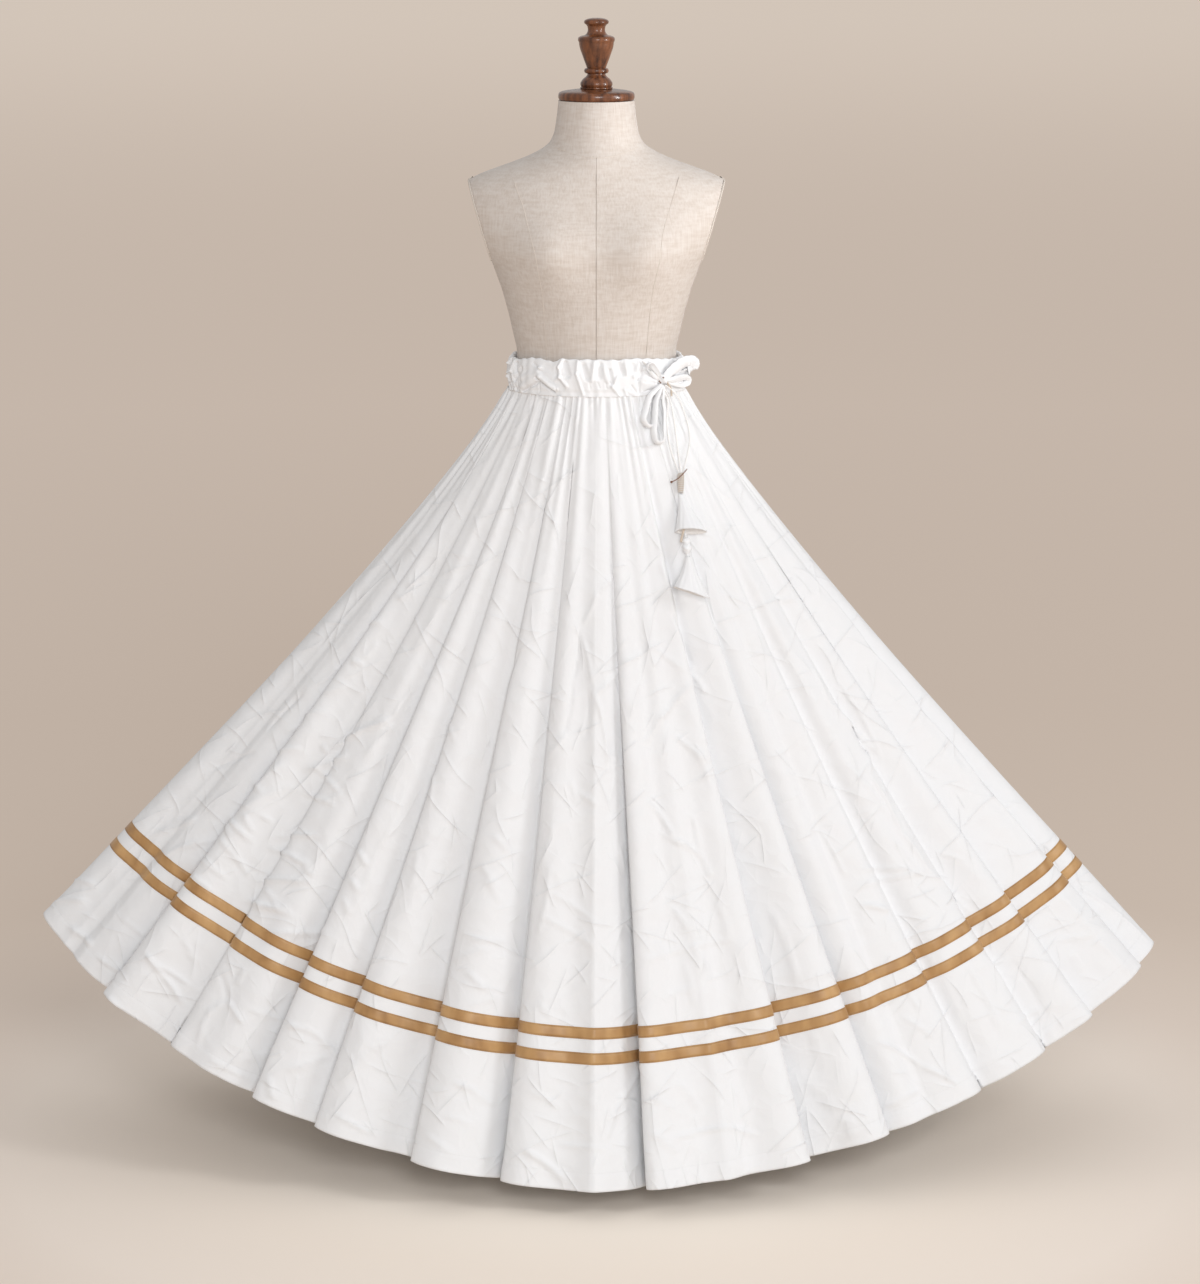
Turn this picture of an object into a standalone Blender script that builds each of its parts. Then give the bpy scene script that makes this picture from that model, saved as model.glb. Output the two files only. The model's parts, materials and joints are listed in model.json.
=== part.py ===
"""A white cotton maxi skirt with two gold ribbons and a tasselled drawstring, on a limbless dress form.

X runs to the viewer's right, Y from the front of the skirt to its back, and Z up from the floor.
"""

import math

import bmesh
import bpy
import numpy as np
from mathutils import Vector

# Cloth and seams, in metres
COTTON = 0.0016  # wall of the cotton
SATIN = 0.0008  # wall of a ribbon
SEAM = 0.0003  # gap left between neighbouring pieces

# Skirt: top edge at the waist seam, hem spread out sideways like a fan
WAIST_HEIGHT = 1.080
WAIST_HALF_WIDE, WAIST_HALF_DEEP = 0.1222, 0.0975
HEM_LEFT, HEM_RIGHT, HEM_DEEP = 0.790, 0.801, 0.345
HEM_POINT = 1.34  # 1 is an oval hem in plan, more is one drawn out to a point at each side
LENGTH_FRONT = 1.083  # waist seam to hem, along the cloth
SHORTER_LEFT, SHORTER_RIGHT, SHORTER_POWER = 0.070, 0.032, 1.80
SAG_FRONT, SAG_SIDE = 0.003, 0.020  # how far the cloth sinks in a third of the way down
SAG_PLACE = 0.65
FAN = 0.6  # 0 spreads the gathers evenly round the waist, 1 runs them to one point in front view
FOLD_GROWTH = 1.1  # 1 opens the folds evenly from waist to hem, more keeps them shallow for longer

# Gold ribbons, as shares of the cloth's length from the waist seam down
RIBBON_START = 0.7955
RIBBON_WIDE = 0.0148  # 16 mm at the front
RIBBON_GAP = 0.0169
RIBBON_LOWER_LEFT, RIBBON_LOWER_RIGHT, RIBBON_LOWER_POWER = 0.020, 0.008, 12  # how far they dip at the sides

# Folds: the lap is how far a sharp edge hangs over its neighbour, the fade how soon gathers die out
LAP = 0.026
HOOK = 6 * (6 / 5) ** 5  # brings the curve of the lap to 1 at its highest
GATHER = 0.0020
GATHER_FADE = 0.45
SHARPEST = 0.25  # limits how far the wall's corners reach out at sharp edges
EDGE_SOFT, EDGE_SHARP = 1.3, 6.5
ROWS_ABOVE_RIBBONS = (0.0, 0.06, 0.16, 0.33, 0.56)

# One row for each fold of half the hem, from the left side to the right
# share: part of the half hem, depth: how far it stands out, groove: depth of the groove before it
# left, right: 0 is a soft edge, 1 a sharp edge that laps over its neighbour
FOLD_COLUMNS = ("share", "depth", "groove", "left", "right")
FRONT_FOLDS = (
    (0.0455, 0.018, 0.000, 0.1, 0.0),
    (0.0455, 0.024, 0.004, 0.7, 0.0),
    (0.0578, 0.032, 0.000, 1.0, 0.0),
    (0.0769, 0.035, 0.002, 1.0, 0.0),
    (0.0541, 0.034, 0.002, 1.0, 0.0),
    (0.0769, 0.032, 0.004, 1.0, 0.0),
    (0.0662, 0.040, 0.002, 1.0, 0.3),
    (0.0717, 0.043, 0.000, 0.5, 0.0),
    (0.0418, 0.040, 0.045, 0.0, 0.0),
    (0.0587, 0.050, 0.010, 1.0, 0.0),
    (0.0588, 0.047, 0.044, 0.0, 1.0),
    (0.0680, 0.042, 0.000, 0.0, 1.0),
    (0.0424, 0.038, 0.002, 0.0, 0.1),
    (0.0424, 0.035, 0.024, 0.1, 0.4),
    (0.0599, 0.034, 0.010, 0.0, 0.6),
    (0.0437, 0.030, 0.006, 0.0, 0.8),
    (0.0558, 0.026, 0.004, 0.0, 0.8),
    (0.0325, 0.016, 0.002, 0.0, 0.1),
)
BACK_FOLDS = (
    (0.0430, 0.018, 0.000, 0.1, 0.0),
    (0.0520, 0.025, 0.003, 0.8, 0.0),
    (0.0640, 0.031, 0.002, 0.9, 0.0),
    (0.0560, 0.034, 0.004, 1.0, 0.0),
    (0.0710, 0.033, 0.002, 0.9, 0.0),
    (0.0520, 0.038, 0.006, 0.8, 0.0),
    (0.0660, 0.041, 0.000, 0.9, 0.3),
    (0.0640, 0.038, 0.002, 0.4, 0.0),
    (0.0500, 0.044, 0.030, 0.1, 0.3),
    (0.0680, 0.043, 0.004, 0.3, 0.9),
    (0.0560, 0.040, 0.002, 0.0, 1.0),
    (0.0500, 0.034, 0.020, 0.0, 0.3),
    (0.0620, 0.036, 0.002, 0.0, 1.0),
    (0.0540, 0.033, 0.004, 0.0, 0.9),
    (0.0620, 0.030, 0.002, 0.0, 0.9),
    (0.0520, 0.027, 0.006, 0.0, 0.8),
    (0.0480, 0.023, 0.003, 0.0, 0.7),
    (0.0300, 0.015, 0.002, 0.0, 0.1),
)
FRONT_SEAM_FOLD = 9  # the front gores meet in the groove before this fold
BACK_SEAM_FOLD = 9
LEFT_EDGE_PHASES = (0.0, 0.12, 0.30, 0.55, 0.80)
RIGHT_EDGE_PHASES = (0.0, 0.20, 0.45, 0.70, 0.88)

# Waistband: a casing gathered on its drawstring
BAND_TALL = 0.0500
BAND_WAVES = 30
BAND_DEEP = 0.0105  # from the inside of its troughs to the outside of its folds
FORM_CLEAR = 0.0006  # from the form to the troughs that grip it
# (share of the band's height, share of BAND_DEEP, how far the whole row bulges)
BAND_ROWS = (
    (0.00, 0.55, 0.0055),
    (0.30, 0.80, 0.0060),
    (0.58, 1.00, 0.0000),
    (1.00, 0.85, 0.0020),
)
BAND_EDGE_RISE = 0.0035  # how far the scallops of its top edge rise and dip
BAND_UNEVEN = ((3, 0.55, 0.8), (7, 0.35, 2.1))  # (times round the band, how far it shifts the folds, start)

# Dress form: one row for each section, from the neck down
FORM_COLUMNS = ("height", "half_wide", "front", "back", "roundness")
FORM_SECTIONS = (
    (1.4777, 0.0523, 0.0523, 0.0523, 2.0),
    (1.4560, 0.0546, 0.0540, 0.0540, 2.0),
    (1.4345, 0.0579, 0.0560, 0.0570, 2.0),
    (1.4200, 0.0640, 0.0590, 0.0620, 1.9),
    (1.4110, 0.0760, 0.0620, 0.0660, 1.7),
    (1.4010, 0.0960, 0.0660, 0.0710, 1.6),
    (1.3905, 0.1250, 0.0690, 0.0760, 1.6),
    (1.3790, 0.1580, 0.0720, 0.0810, 1.6),
    (1.3690, 0.1780, 0.0750, 0.0860, 1.7),
    (1.3560, 0.1900, 0.0790, 0.0910, 1.8),
    (1.3330, 0.1900, 0.0860, 0.0960, 2.0),
    (1.3030, 0.1790, 0.0950, 0.0970, 2.1),
    (1.2730, 0.1590, 0.1010, 0.0940, 2.2),
    (1.2480, 0.1420, 0.1000, 0.0900, 2.2),
    (1.2180, 0.1312, 0.0950, 0.0860, 2.2),
    (1.1850, 0.1223, 0.0900, 0.0840, 2.1),
    (1.1480, 0.1140, 0.0870, 0.0840, 2.0),
    (1.1360, 0.1110, 0.0860, 0.0860, 2.0),
    (1.0740, 0.1110, 0.0860, 0.0860, 2.0),
    (1.0300, 0.1200, 0.0900, 0.0980, 2.1),
    (0.9700, 0.1400, 0.0980, 0.1100, 2.2),
    (0.9100, 0.1510, 0.1030, 0.1150, 2.2),
    (0.8500, 0.1500, 0.1030, 0.1120, 2.2),
    (0.8100, 0.1440, 0.0990, 0.1070, 2.2),
)
FORM_SIDES = 32
ARMHOLE_TOP, ARMHOLE_FOOT = (1.368, 0.1765), (1.2575, 0.1440)  # (height, half width) of the flat armplates
BUST = {"out": 0.016, "apart": 0.072, "height": 1.275, "wide": 0.048, "tall": 0.050}

# Turned wood on top of the neck and the stand below, as (radius, height)
CAP_PROFILE = (
    (0.0500, 1.4780),
    (0.0522, 1.4800),
    (0.0526, 1.4850),
    (0.0512, 1.4888),
    (0.0420, 1.4912),
    (0.0200, 1.4936),
)
FINIAL_PROFILE = (
    (0.0200, 1.4939),
    (0.0213, 1.4962),
    (0.0204, 1.4990),
    (0.0222, 1.5050),
    (0.0208, 1.5120),
    (0.0150, 1.5168),
    (0.0173, 1.5195),
    (0.0173, 1.5225),
    (0.0142, 1.5250),
    (0.0180, 1.5380),
    (0.0225, 1.5500),
    (0.0253, 1.5590),
    (0.0255, 1.5640),
    (0.0225, 1.5662),
    (0.0124, 1.5690),
    (0.0118, 1.5770),
    (0.0128, 1.5815),
    (0.0172, 1.5830),
    (0.0172, 1.5870),
    (0.0100, 1.5898),
)
POLE_RADIUS = 0.015
BASE_PROFILE = (
    (0.1600, 0.0000),
    (0.1600, 0.0130),
    (0.1560, 0.0180),
    (0.1480, 0.0200),
    (0.0420, 0.0230),
    (0.0300, 0.0300),
    (0.0240, 0.0420),
    (0.0151, 0.0450),
)

# Bow and tassel, placed by where they lie in front view and how far they stand off the cloth
KNOT = {"x": 0.0908, "z": 1.1010, "lift": 0.0068, "radii": (0.0080, 0.0055, 0.0070)}
TAPE = 0.0010
# lean: degrees from straight down, round the waist to the right; off: how steeply it stands off the cloth;
# long: knot to far end, fat: half the gap between its layers, start: how far from the knot it begins
LOOP_COLUMNS = ("name", "lean", "off", "long", "wide", "fat", "start", "twist")
BOW_LOOPS = (
    ("bow_loop_hanging_left", -40.0, 0.40, 0.070, 0.024, 0.0036, 0.0070, 8.0),
    ("bow_loop_hanging_right", -15.0, 0.52, 0.097, 0.020, 0.0034, 0.0074, -15.0),
    ("bow_loop_upper_right", 119.0, 0.08, 0.056, 0.034, 0.0080, 0.0080, 20.0),
    ("bow_loop_lower_right", 80.0, 0.20, 0.043, 0.019, 0.0036, 0.0080, 15.0),
)
LOOP_ROOT = 0.0024  # width of a loop where it leaves the knot
LOOP_STEPS = 14
CORD_RADIUS = 0.0010
CORD_SPACING = 0.0058
# Routes of the cords by (x, z, lift off the cloth); each starts under the knot and ends on the wrapping,
# this far to the right of its middle
CORD_ENDS = {"drawstring_left": -0.0026, "drawstring_middle": 0.0, "drawstring_right": 0.0026}
CORD_STARTS = 1.4  # how many times further apart they are under the knot
CORD_ROUTES = {
    "drawstring_left": ((0.0925, 1.0700, 0.0070), (0.0950, 1.0400, 0.0055), (0.0990, 1.0069, 0.0060)),
    "drawstring_middle": ((0.0975, 1.0700, 0.0065), (0.1030, 1.0429, 0.0050), (0.1085, 1.0060, 0.0050)),
    "drawstring_right": ((0.1050, 1.0733, 0.0070), (0.1190, 1.0410, 0.0060), (0.1240, 1.0110, 0.0060)),
}
WRAP = {"x": 0.1120, "top": 0.9712, "foot": 0.9452, "radius": 0.0042, "lift": 0.0085}
# One row for each cloth bell: its top, the middle of its foot, half sizes of its mouth, extra drop at the back
BELL_COLUMNS = (
    "name", "x", "z", "lift", "foot_x", "foot_z", "foot_lift", "half_wide", "half_deep", "back_drop", "slant",
)
BELLS = (
    ("tassel_bell_upper", 0.1120, 0.9438, 0.0085, 0.1210, 0.8980, 0.0215, 0.0215, 0.0110, 0.012, 0.000),
    ("tassel_bell_lower", 0.1158, 0.8590, 0.0200, 0.1205, 0.8140, 0.0245, 0.0245, 0.0110, 0.006, -0.008),
)
BELL_SIDES = 14
BELL_WALL = 0.0010
BELL_TOP_RADIUS = 0.0034
LINK_STRAND = 0.0014  # radius of the strand that ties the lower bell to the upper one
LINK_BEAD = 0.0062


def make_material(name, colour, roughness, metallic=0.0):
    material = bpy.data.materials.new(name)
    material.use_nodes = True
    shader = material.node_tree.nodes["Principled BSDF"]
    shader.inputs["Base Color"].default_value = (*colour, 1.0)
    shader.inputs["Roughness"].default_value = roughness
    shader.inputs["Metallic"].default_value = metallic
    material.diffuse_color = (*colour, 1.0)
    return material


def add_mesh(name, points, faces, material, smooth_angle=None):
    """A closed mesh object from its points and faces, with its faces turned outwards."""
    mesh = bpy.data.meshes.new(name)
    mesh.from_pydata([tuple(map(float, point)) for point in points], [], faces)
    work = bmesh.new()
    work.from_mesh(mesh)
    bmesh.ops.recalc_face_normals(work, faces=work.faces)
    work.to_mesh(mesh)
    work.free()
    mesh.materials.append(material)
    if smooth_angle is not None:
        mesh.shade_smooth()
        mesh.set_sharp_from_angle(angle=math.radians(smooth_angle))
    part = bpy.data.objects.new(name, mesh)
    bpy.context.scene.collection.objects.link(part)
    return part


def add_wall(name, outer, inner, ring, material):
    """A sheet of cloth as a closed wall between two grids of points, each [row, column, xyz]."""
    rows, columns = outer.shape[:2]
    points = list(outer.reshape(-1, 3)) + list(inner.reshape(-1, 3))
    back = rows * columns

    def corner(row, column, side):
        return side * back + row * columns + column % columns

    steps = columns if ring else columns - 1
    faces = []
    for column in range(steps):
        for row in range(rows - 1):
            for side in (0, 1):
                faces.append([
                    corner(row, column, side), corner(row + 1, column, side),
                    corner(row + 1, column + 1, side), corner(row, column + 1, side),
                ])
        for row in (0, rows - 1):
            faces.append([
                corner(row, column, 0), corner(row, column + 1, 0),
                corner(row, column + 1, 1), corner(row, column, 1),
            ])
    if not ring:
        for column in (0, columns - 1):
            for row in range(rows - 1):
                faces.append([
                    corner(row, column, 0), corner(row + 1, column, 0),
                    corner(row + 1, column, 1), corner(row, column, 1),
                ])
    return add_mesh(name, points, faces, material)


def add_turned(name, profile, sides, material):
    """A solid of revolution about the form's axis, from (radius, height) rows."""
    points = [
        (radius * math.cos(turn), radius * math.sin(turn), height)
        for radius, height in profile
        for turn in (2 * math.pi * side / sides for side in range(sides))
    ]
    faces = [
        [row * sides + side, row * sides + (side + 1) % sides,
         (row + 1) * sides + (side + 1) % sides, (row + 1) * sides + side]
        for row in range(len(profile) - 1)
        for side in range(sides)
    ]
    faces.append(list(range(sides)))
    faces.append([(len(profile) - 1) * sides + side for side in range(sides)])
    return add_mesh(name, points, faces, material, smooth_angle=40)


def column(table, columns, name):
    return np.array([row[columns.index(name)] for row in table], float)


# Form of the skirt. "turn" runs once round the hem: 0 at the left side, 1 at the right side by way
# of the front, 2 at the left side again by way of the back. "drop" runs from 0 at the waist to 1 at the hem.
PLAN_ANGLES = np.linspace(-math.pi / 2, math.pi / 2, 2001)


def signed_power(value, power):
    return np.sign(value) * np.abs(value) ** power


def hem_plan(angle):
    wide = np.where(angle < 0, HEM_LEFT, HEM_RIGHT)
    return wide * signed_power(np.sin(angle), HEM_POINT), -HEM_DEEP * np.cos(angle) ** HEM_POINT


PLAN_X, PLAN_Y = hem_plan(PLAN_ANGLES)
PLAN_ALONG = np.concatenate([[0.0], np.cumsum(np.hypot(np.diff(PLAN_X), np.diff(PLAN_Y)))])
HALF_HEM = PLAN_ALONG[-1]
PLAN_SHARE = PLAN_ALONG / HALF_HEM
FRONT_SHARE = float(np.interp(0.0, PLAN_ANGLES, PLAN_SHARE))


def share_of(turn):
    """Place along the half hem, and -1 on the front or 1 on the back."""
    turn = np.mod(turn, 2.0)
    return np.where(turn <= 1, turn, 2 - turn), np.where(turn <= 1, -1.0, 1.0)


def cloth_length(angle):
    shorter = np.where(angle < 0, SHORTER_LEFT, SHORTER_RIGHT)
    return LENGTH_FRONT - shorter * np.abs(np.sin(angle)) ** SHORTER_POWER


def smooth_skirt(turn, drop):
    """The skirt's mean surface, without folds."""
    share, side = share_of(turn)
    angle = np.interp(share, PLAN_SHARE, PLAN_ANGLES)
    hem_x, hem_y = hem_plan(angle)
    hem_y = hem_y * -side
    fan = np.arcsin(np.clip(hem_x / np.where(angle < 0, HEM_LEFT, HEM_RIGHT), -1, 1))
    spread = (share - FRONT_SHARE) / np.where(share < FRONT_SHARE, FRONT_SHARE, 1 - FRONT_SHARE) * math.pi / 2
    waist = FAN * fan + (1 - FAN) * spread
    waist_x, waist_y = WAIST_HALF_WIDE * np.sin(waist), side * WAIST_HALF_DEEP * np.cos(waist)
    length = cloth_length(angle)
    reach = np.hypot(hem_x - waist_x, hem_y - waist_y)
    fall = np.sqrt(length ** 2 - reach ** 2)
    sag = SAG_FRONT + (SAG_SIDE - SAG_FRONT) * np.sin(angle) ** 2
    sag = sag * np.sin(math.pi * signed_power(drop, SAG_PLACE))
    sideways = drop - sag * fall / (length * reach)
    return np.stack(np.broadcast_arrays(
        waist_x + (hem_x - waist_x) * sideways,
        waist_y + (hem_y - waist_y) * sideways,
        WAIST_HEIGHT - fall * drop - sag * reach / length,
    ), axis=-1)


def directions(surface, turn, drop):
    """Unit vectors along the hem and out of the cloth."""
    step = 0.002
    along = surface(turn + step, drop) - surface(turn - step, drop)
    down = surface(turn, np.minimum(drop + step, 1.02)) - surface(turn, drop - step)
    out = np.cross(down, along)
    along = along / np.linalg.norm(along, axis=-1, keepdims=True)
    return along, out / np.linalg.norm(out, axis=-1, keepdims=True)


def half_folds(folds, share):
    """How far the folds of one half stand out and lap over at the hem, and the gathers' wave."""
    shares = column(folds, FOLD_COLUMNS, "share")
    shares = shares / shares.sum()
    edges = np.concatenate([[0.0], np.cumsum(shares)])
    fold = np.clip(np.searchsorted(edges, share, side="right") - 1, 0, len(folds) - 1)
    phase = np.clip((share - edges[fold]) / shares[fold], 0, 1)
    depth, left, right = (column(folds, FOLD_COLUMNS, name)[fold] for name in ("depth", "left", "right"))
    grooves = np.append(column(folds, FOLD_COLUMNS, "groove"), 0.0)
    floor = grooves[fold] + (grooves[fold + 1] - grooves[fold]) * phase
    rise = 1 - (1 - phase) ** (EDGE_SOFT + EDGE_SHARP * left)
    fall = 1 - phase ** (EDGE_SOFT + EDGE_SHARP * right)
    out = floor + (depth - floor) * rise * fall

    def hook(place):
        return HOOK * place * (1 - place) ** 5

    lap = LAP * (right * hook(1 - phase) - left * hook(phase))
    return out, lap, np.cos(4 * math.pi * phase)


def folds_at(turn):
    share, side = share_of(turn)
    front = half_folds(FRONT_FOLDS, share)
    back = half_folds(BACK_FOLDS, share)
    out, lap, wave = (np.where(side < 0, a, b) for a, b in zip(front, back))
    return out, lap * -side, wave


def skirt(turn, drop):
    """The outside of the skirt's cloth with its folds and gathers."""
    turn, drop = np.broadcast_arrays(np.asarray(turn, float), np.asarray(drop, float))
    out, lap, wave = folds_at(turn)
    along, outward = directions(smooth_skirt, turn, np.ones_like(turn))
    outward_top = directions(smooth_skirt, turn, np.zeros_like(turn) + 0.01)[1]
    gather = GATHER * wave * np.clip(1 - drop / GATHER_FADE, 0, 1) ** 2
    grown = signed_power(drop, FOLD_GROWTH)
    return (
        smooth_skirt(turn, drop)
        + outward * (out * grown)[..., None]
        + along * (lap * grown)[..., None]
        + outward_top * gather[..., None]
    )


def mitres(points):
    """The way out of a closed ring of faces at each point, stretched so that offset faces stay parallel."""
    down = np.gradient(points, axis=0)
    ahead = np.roll(points, -1, axis=1) - points
    normals = np.cross(down, ahead)
    normals /= np.linalg.norm(normals, axis=-1, keepdims=True)
    before = np.roll(normals, 1, axis=1)
    meeting = np.sum(normals * before, axis=-1, keepdims=True)
    return (normals + before) / np.maximum(1 + meeting, SHARPEST)


def fold_edges(folds):
    shares = column(folds, FOLD_COLUMNS, "share")
    return np.concatenate([[0.0], np.cumsum(shares / shares.sum())])


def fold_shares(folds, first, last):
    """Shares of the half hem at which the cloth has a column of points, from one fold to another."""
    edges = fold_edges(folds)
    places = []
    for row in range(first, last):
        left, right = (folds[row][FOLD_COLUMNS.index(name)] for name in ("left", "right"))
        phases = LEFT_EDGE_PHASES if left >= right else RIGHT_EDGE_PHASES
        places += [edges[row] + (edges[row + 1] - edges[row]) * phase for phase in phases]
    return np.array(places + [edges[last]])


def ribbon_drops(turn):
    """Rows of the skirt at which the two ribbons begin and end, as shares of the cloth's length."""
    share, _ = share_of(turn)
    angle = np.interp(share, PLAN_SHARE, PLAN_ANGLES)
    lower = np.where(angle < 0, RIBBON_LOWER_LEFT, RIBBON_LOWER_RIGHT)
    start = RIBBON_START + lower * np.sin(angle) ** RIBBON_LOWER_POWER
    places = (0, RIBBON_WIDE, RIBBON_WIDE + RIBBON_GAP, 2 * RIBBON_WIDE + RIBBON_GAP)
    return np.stack([start + place for place in places])


def skirt_grid(turns):
    """All rows of the skirt at these turns: (turn, drop) grids of the same shape."""
    plain = np.repeat(np.array(ROWS_ABOVE_RIBBONS)[:, None], len(turns), axis=1)
    drops = np.concatenate([plain, ribbon_drops(turns), np.ones((1, len(turns)))])
    return np.repeat(turns[None, :], len(drops), axis=0), drops


def add_gore(name, cloth, out, first, last, material):
    """The stretch of the skirt's wall between two of its columns, parted from its neighbours at the seams."""
    columns = np.arange(first, last + 1) % cloth.shape[1]
    outer, inner = cloth[:, columns], (cloth - out * COTTON)[:, columns]
    for wall in (outer, inner):
        for end, inside in ((0, 1), (-1, -2)):
            inwards = wall[:, inside] - wall[:, end]
            wall[:, end] += inwards * (SEAM / np.linalg.norm(inwards, axis=-1, keepdims=True))
    add_wall(name, outer, inner, False, material)


def add_ribbon(name, cloth, out, first_row, material):
    rows = slice(len(ROWS_ABOVE_RIBBONS) + first_row, len(ROWS_ABOVE_RIBBONS) + first_row + 2)
    add_wall(name, (cloth + out * (SEAM + SATIN))[rows], (cloth + out * SEAM)[rows], True, material)


def over_cloth(x, z, lift):
    """A point in front of the skirt or its waistband, by where it is in front view."""
    if z > WAIST_HEIGHT:
        half_wide, half_deep = FORM_HALF_WIDE + BAND_DEEP + COTTON, FORM_HALF_DEEP + BAND_DEEP + COTTON
        return Vector((x, -half_deep * math.sqrt(max(0.02, 1 - (x / half_wide) ** 2)) - lift, z))
    turn, drop = 0.6, (WAIST_HEIGHT - z) / (LENGTH_FRONT * 0.95)
    for _ in range(30):
        point = smooth_skirt(turn, drop)
        turn += (x - float(point[0])) / (2 * HALF_HEM * max(drop, 0.12))
        drop += (float(point[2]) - z) / LENGTH_FRONT
        turn, drop = min(max(turn, 0.02), 0.98), min(max(drop, 0.0), 1.0)
    return Vector(map(float, skirt(turn, drop) + directions(smooth_skirt, turn, drop)[1] * lift))


def section_at(height, name):
    heights = column(FORM_SECTIONS, FORM_COLUMNS, "height")
    return float(np.interp(height, heights[::-1], column(FORM_SECTIONS, FORM_COLUMNS, name)[::-1]))


FORM_HALF_WIDE = section_at(WAIST_HEIGHT, "half_wide")
FORM_HALF_DEEP = section_at(WAIST_HEIGHT, "front")


def armhole_limit(height):
    (top, top_half), (foot, foot_half) = ARMHOLE_TOP, ARMHOLE_FOOT
    return top_half + (height - top) * (top_half - foot_half) / (top - foot)


def form_point(section, turn):
    """A point of the torso: superellipse sections, cut flat at the armplates and rounded at the bust."""
    height, half_wide, front, back, roundness = section
    x = half_wide * float(signed_power(math.sin(turn), 2 / roundness))
    y = (front if math.cos(turn) > 0 else back) * -float(signed_power(math.cos(turn), 2 / roundness))
    limit = armhole_limit(height)
    if height > ARMHOLE_FOOT[0] - 0.02:
        x = min(max(x, -limit), limit)
    if y < 0:
        for side in (-1, 1):
            across = (x - side * BUST["apart"]) / BUST["wide"]
            up = (height - BUST["height"]) / BUST["tall"]
            y -= BUST["out"] * math.exp(-across * across - up * up)
    return x, y, height


def build_form(linen, wood, metal):
    turns = [2 * math.pi * side / FORM_SIDES for side in range(FORM_SIDES)]
    points = [form_point(section, turn) for section in FORM_SECTIONS for turn in turns]
    faces = [
        [row * FORM_SIDES + side, row * FORM_SIDES + (side + 1) % FORM_SIDES,
         (row + 1) * FORM_SIDES + (side + 1) % FORM_SIDES, (row + 1) * FORM_SIDES + side]
        for row in range(len(FORM_SECTIONS) - 1)
        for side in range(FORM_SIDES)
    ]
    faces.append(list(range(FORM_SIDES)))
    faces.append([(len(FORM_SECTIONS) - 1) * FORM_SIDES + side for side in range(FORM_SIDES)])
    add_mesh("form_torso", points, faces, linen, smooth_angle=50)
    add_turned("form_neck_cap", CAP_PROFILE, 24, wood)
    add_turned("form_finial", FINIAL_PROFILE, 14, wood)
    add_turned("form_base", BASE_PROFILE, 32, wood)
    pole_foot, pole_top = BASE_PROFILE[-1][1] + SEAM, FORM_SECTIONS[-1][0] - SEAM
    add_turned("form_pole", ((POLE_RADIUS, pole_foot), (POLE_RADIUS, pole_top)), 16, metal)


def build_skirt(cotton, satin):
    front_left = fold_shares(FRONT_FOLDS, 0, FRONT_SEAM_FOLD)
    front_right = fold_shares(FRONT_FOLDS, FRONT_SEAM_FOLD, len(FRONT_FOLDS))
    back_left = 2 - fold_shares(BACK_FOLDS, 0, BACK_SEAM_FOLD)[::-1]
    back_right = 2 - fold_shares(BACK_FOLDS, BACK_SEAM_FOLD, len(BACK_FOLDS))[::-1]
    stretches = (front_left, front_right, back_right, back_left)
    around = np.concatenate([stretch[:-1] for stretch in stretches])
    cloth = skirt(*skirt_grid(around))
    out = mitres(cloth)
    names = ("skirt_front_left", "skirt_front_right", "skirt_back_right", "skirt_back_left")
    first = 0
    for name, stretch in zip(names, stretches):
        add_gore(name, cloth, out, first, first + len(stretch) - 1, cotton)
        first += len(stretch) - 1
    add_ribbon("ribbon_upper", cloth, out, 0, satin)
    add_ribbon("ribbon_lower", cloth, out, 2, satin)


def band_wall(columns):
    """Outer and inner points of the gathered waistband, row by row from the top."""
    turns = np.arange(columns) * 2 * math.pi / columns
    uneven = sum(shift * np.sin(times * turns + start) for times, shift, start in BAND_UNEVEN)
    wave = np.cos(BAND_WAVES * turns + uneven)
    strength = 0.82 + 0.18 * np.sin(5 * turns + 1.3)
    normal = np.stack([np.sin(turns) / FORM_HALF_WIDE, -np.cos(turns) / FORM_HALF_DEEP], axis=-1)
    normal /= np.linalg.norm(normal, axis=-1, keepdims=True)
    oval = np.stack([FORM_HALF_WIDE * np.sin(turns), -FORM_HALF_DEEP * np.cos(turns)], axis=-1)
    outer, inner = [], []
    for height, deep, out in reversed(BAND_ROWS):
        swing = (BAND_DEEP - COTTON) * deep * strength
        away = FORM_CLEAR + COTTON + out + swing * (0.5 + 0.5 * wave)
        level = WAIST_HEIGHT + 3 * SEAM + BAND_TALL * height
        rise = BAND_EDGE_RISE * np.cos(2 * turns * BAND_WAVES / 3 + 2 * uneven) * (height == 1)
        for rows, offset in ((outer, away), (inner, away - COTTON)):
            plan = oval + normal * offset[:, None]
            rows.append(np.column_stack([plan, level + rise]))
    return np.array(outer), np.array(inner)


def build_band(cotton):
    outer, inner = band_wall(4 * BAND_WAVES)
    add_wall("waistband", outer, inner, True, cotton)


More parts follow.
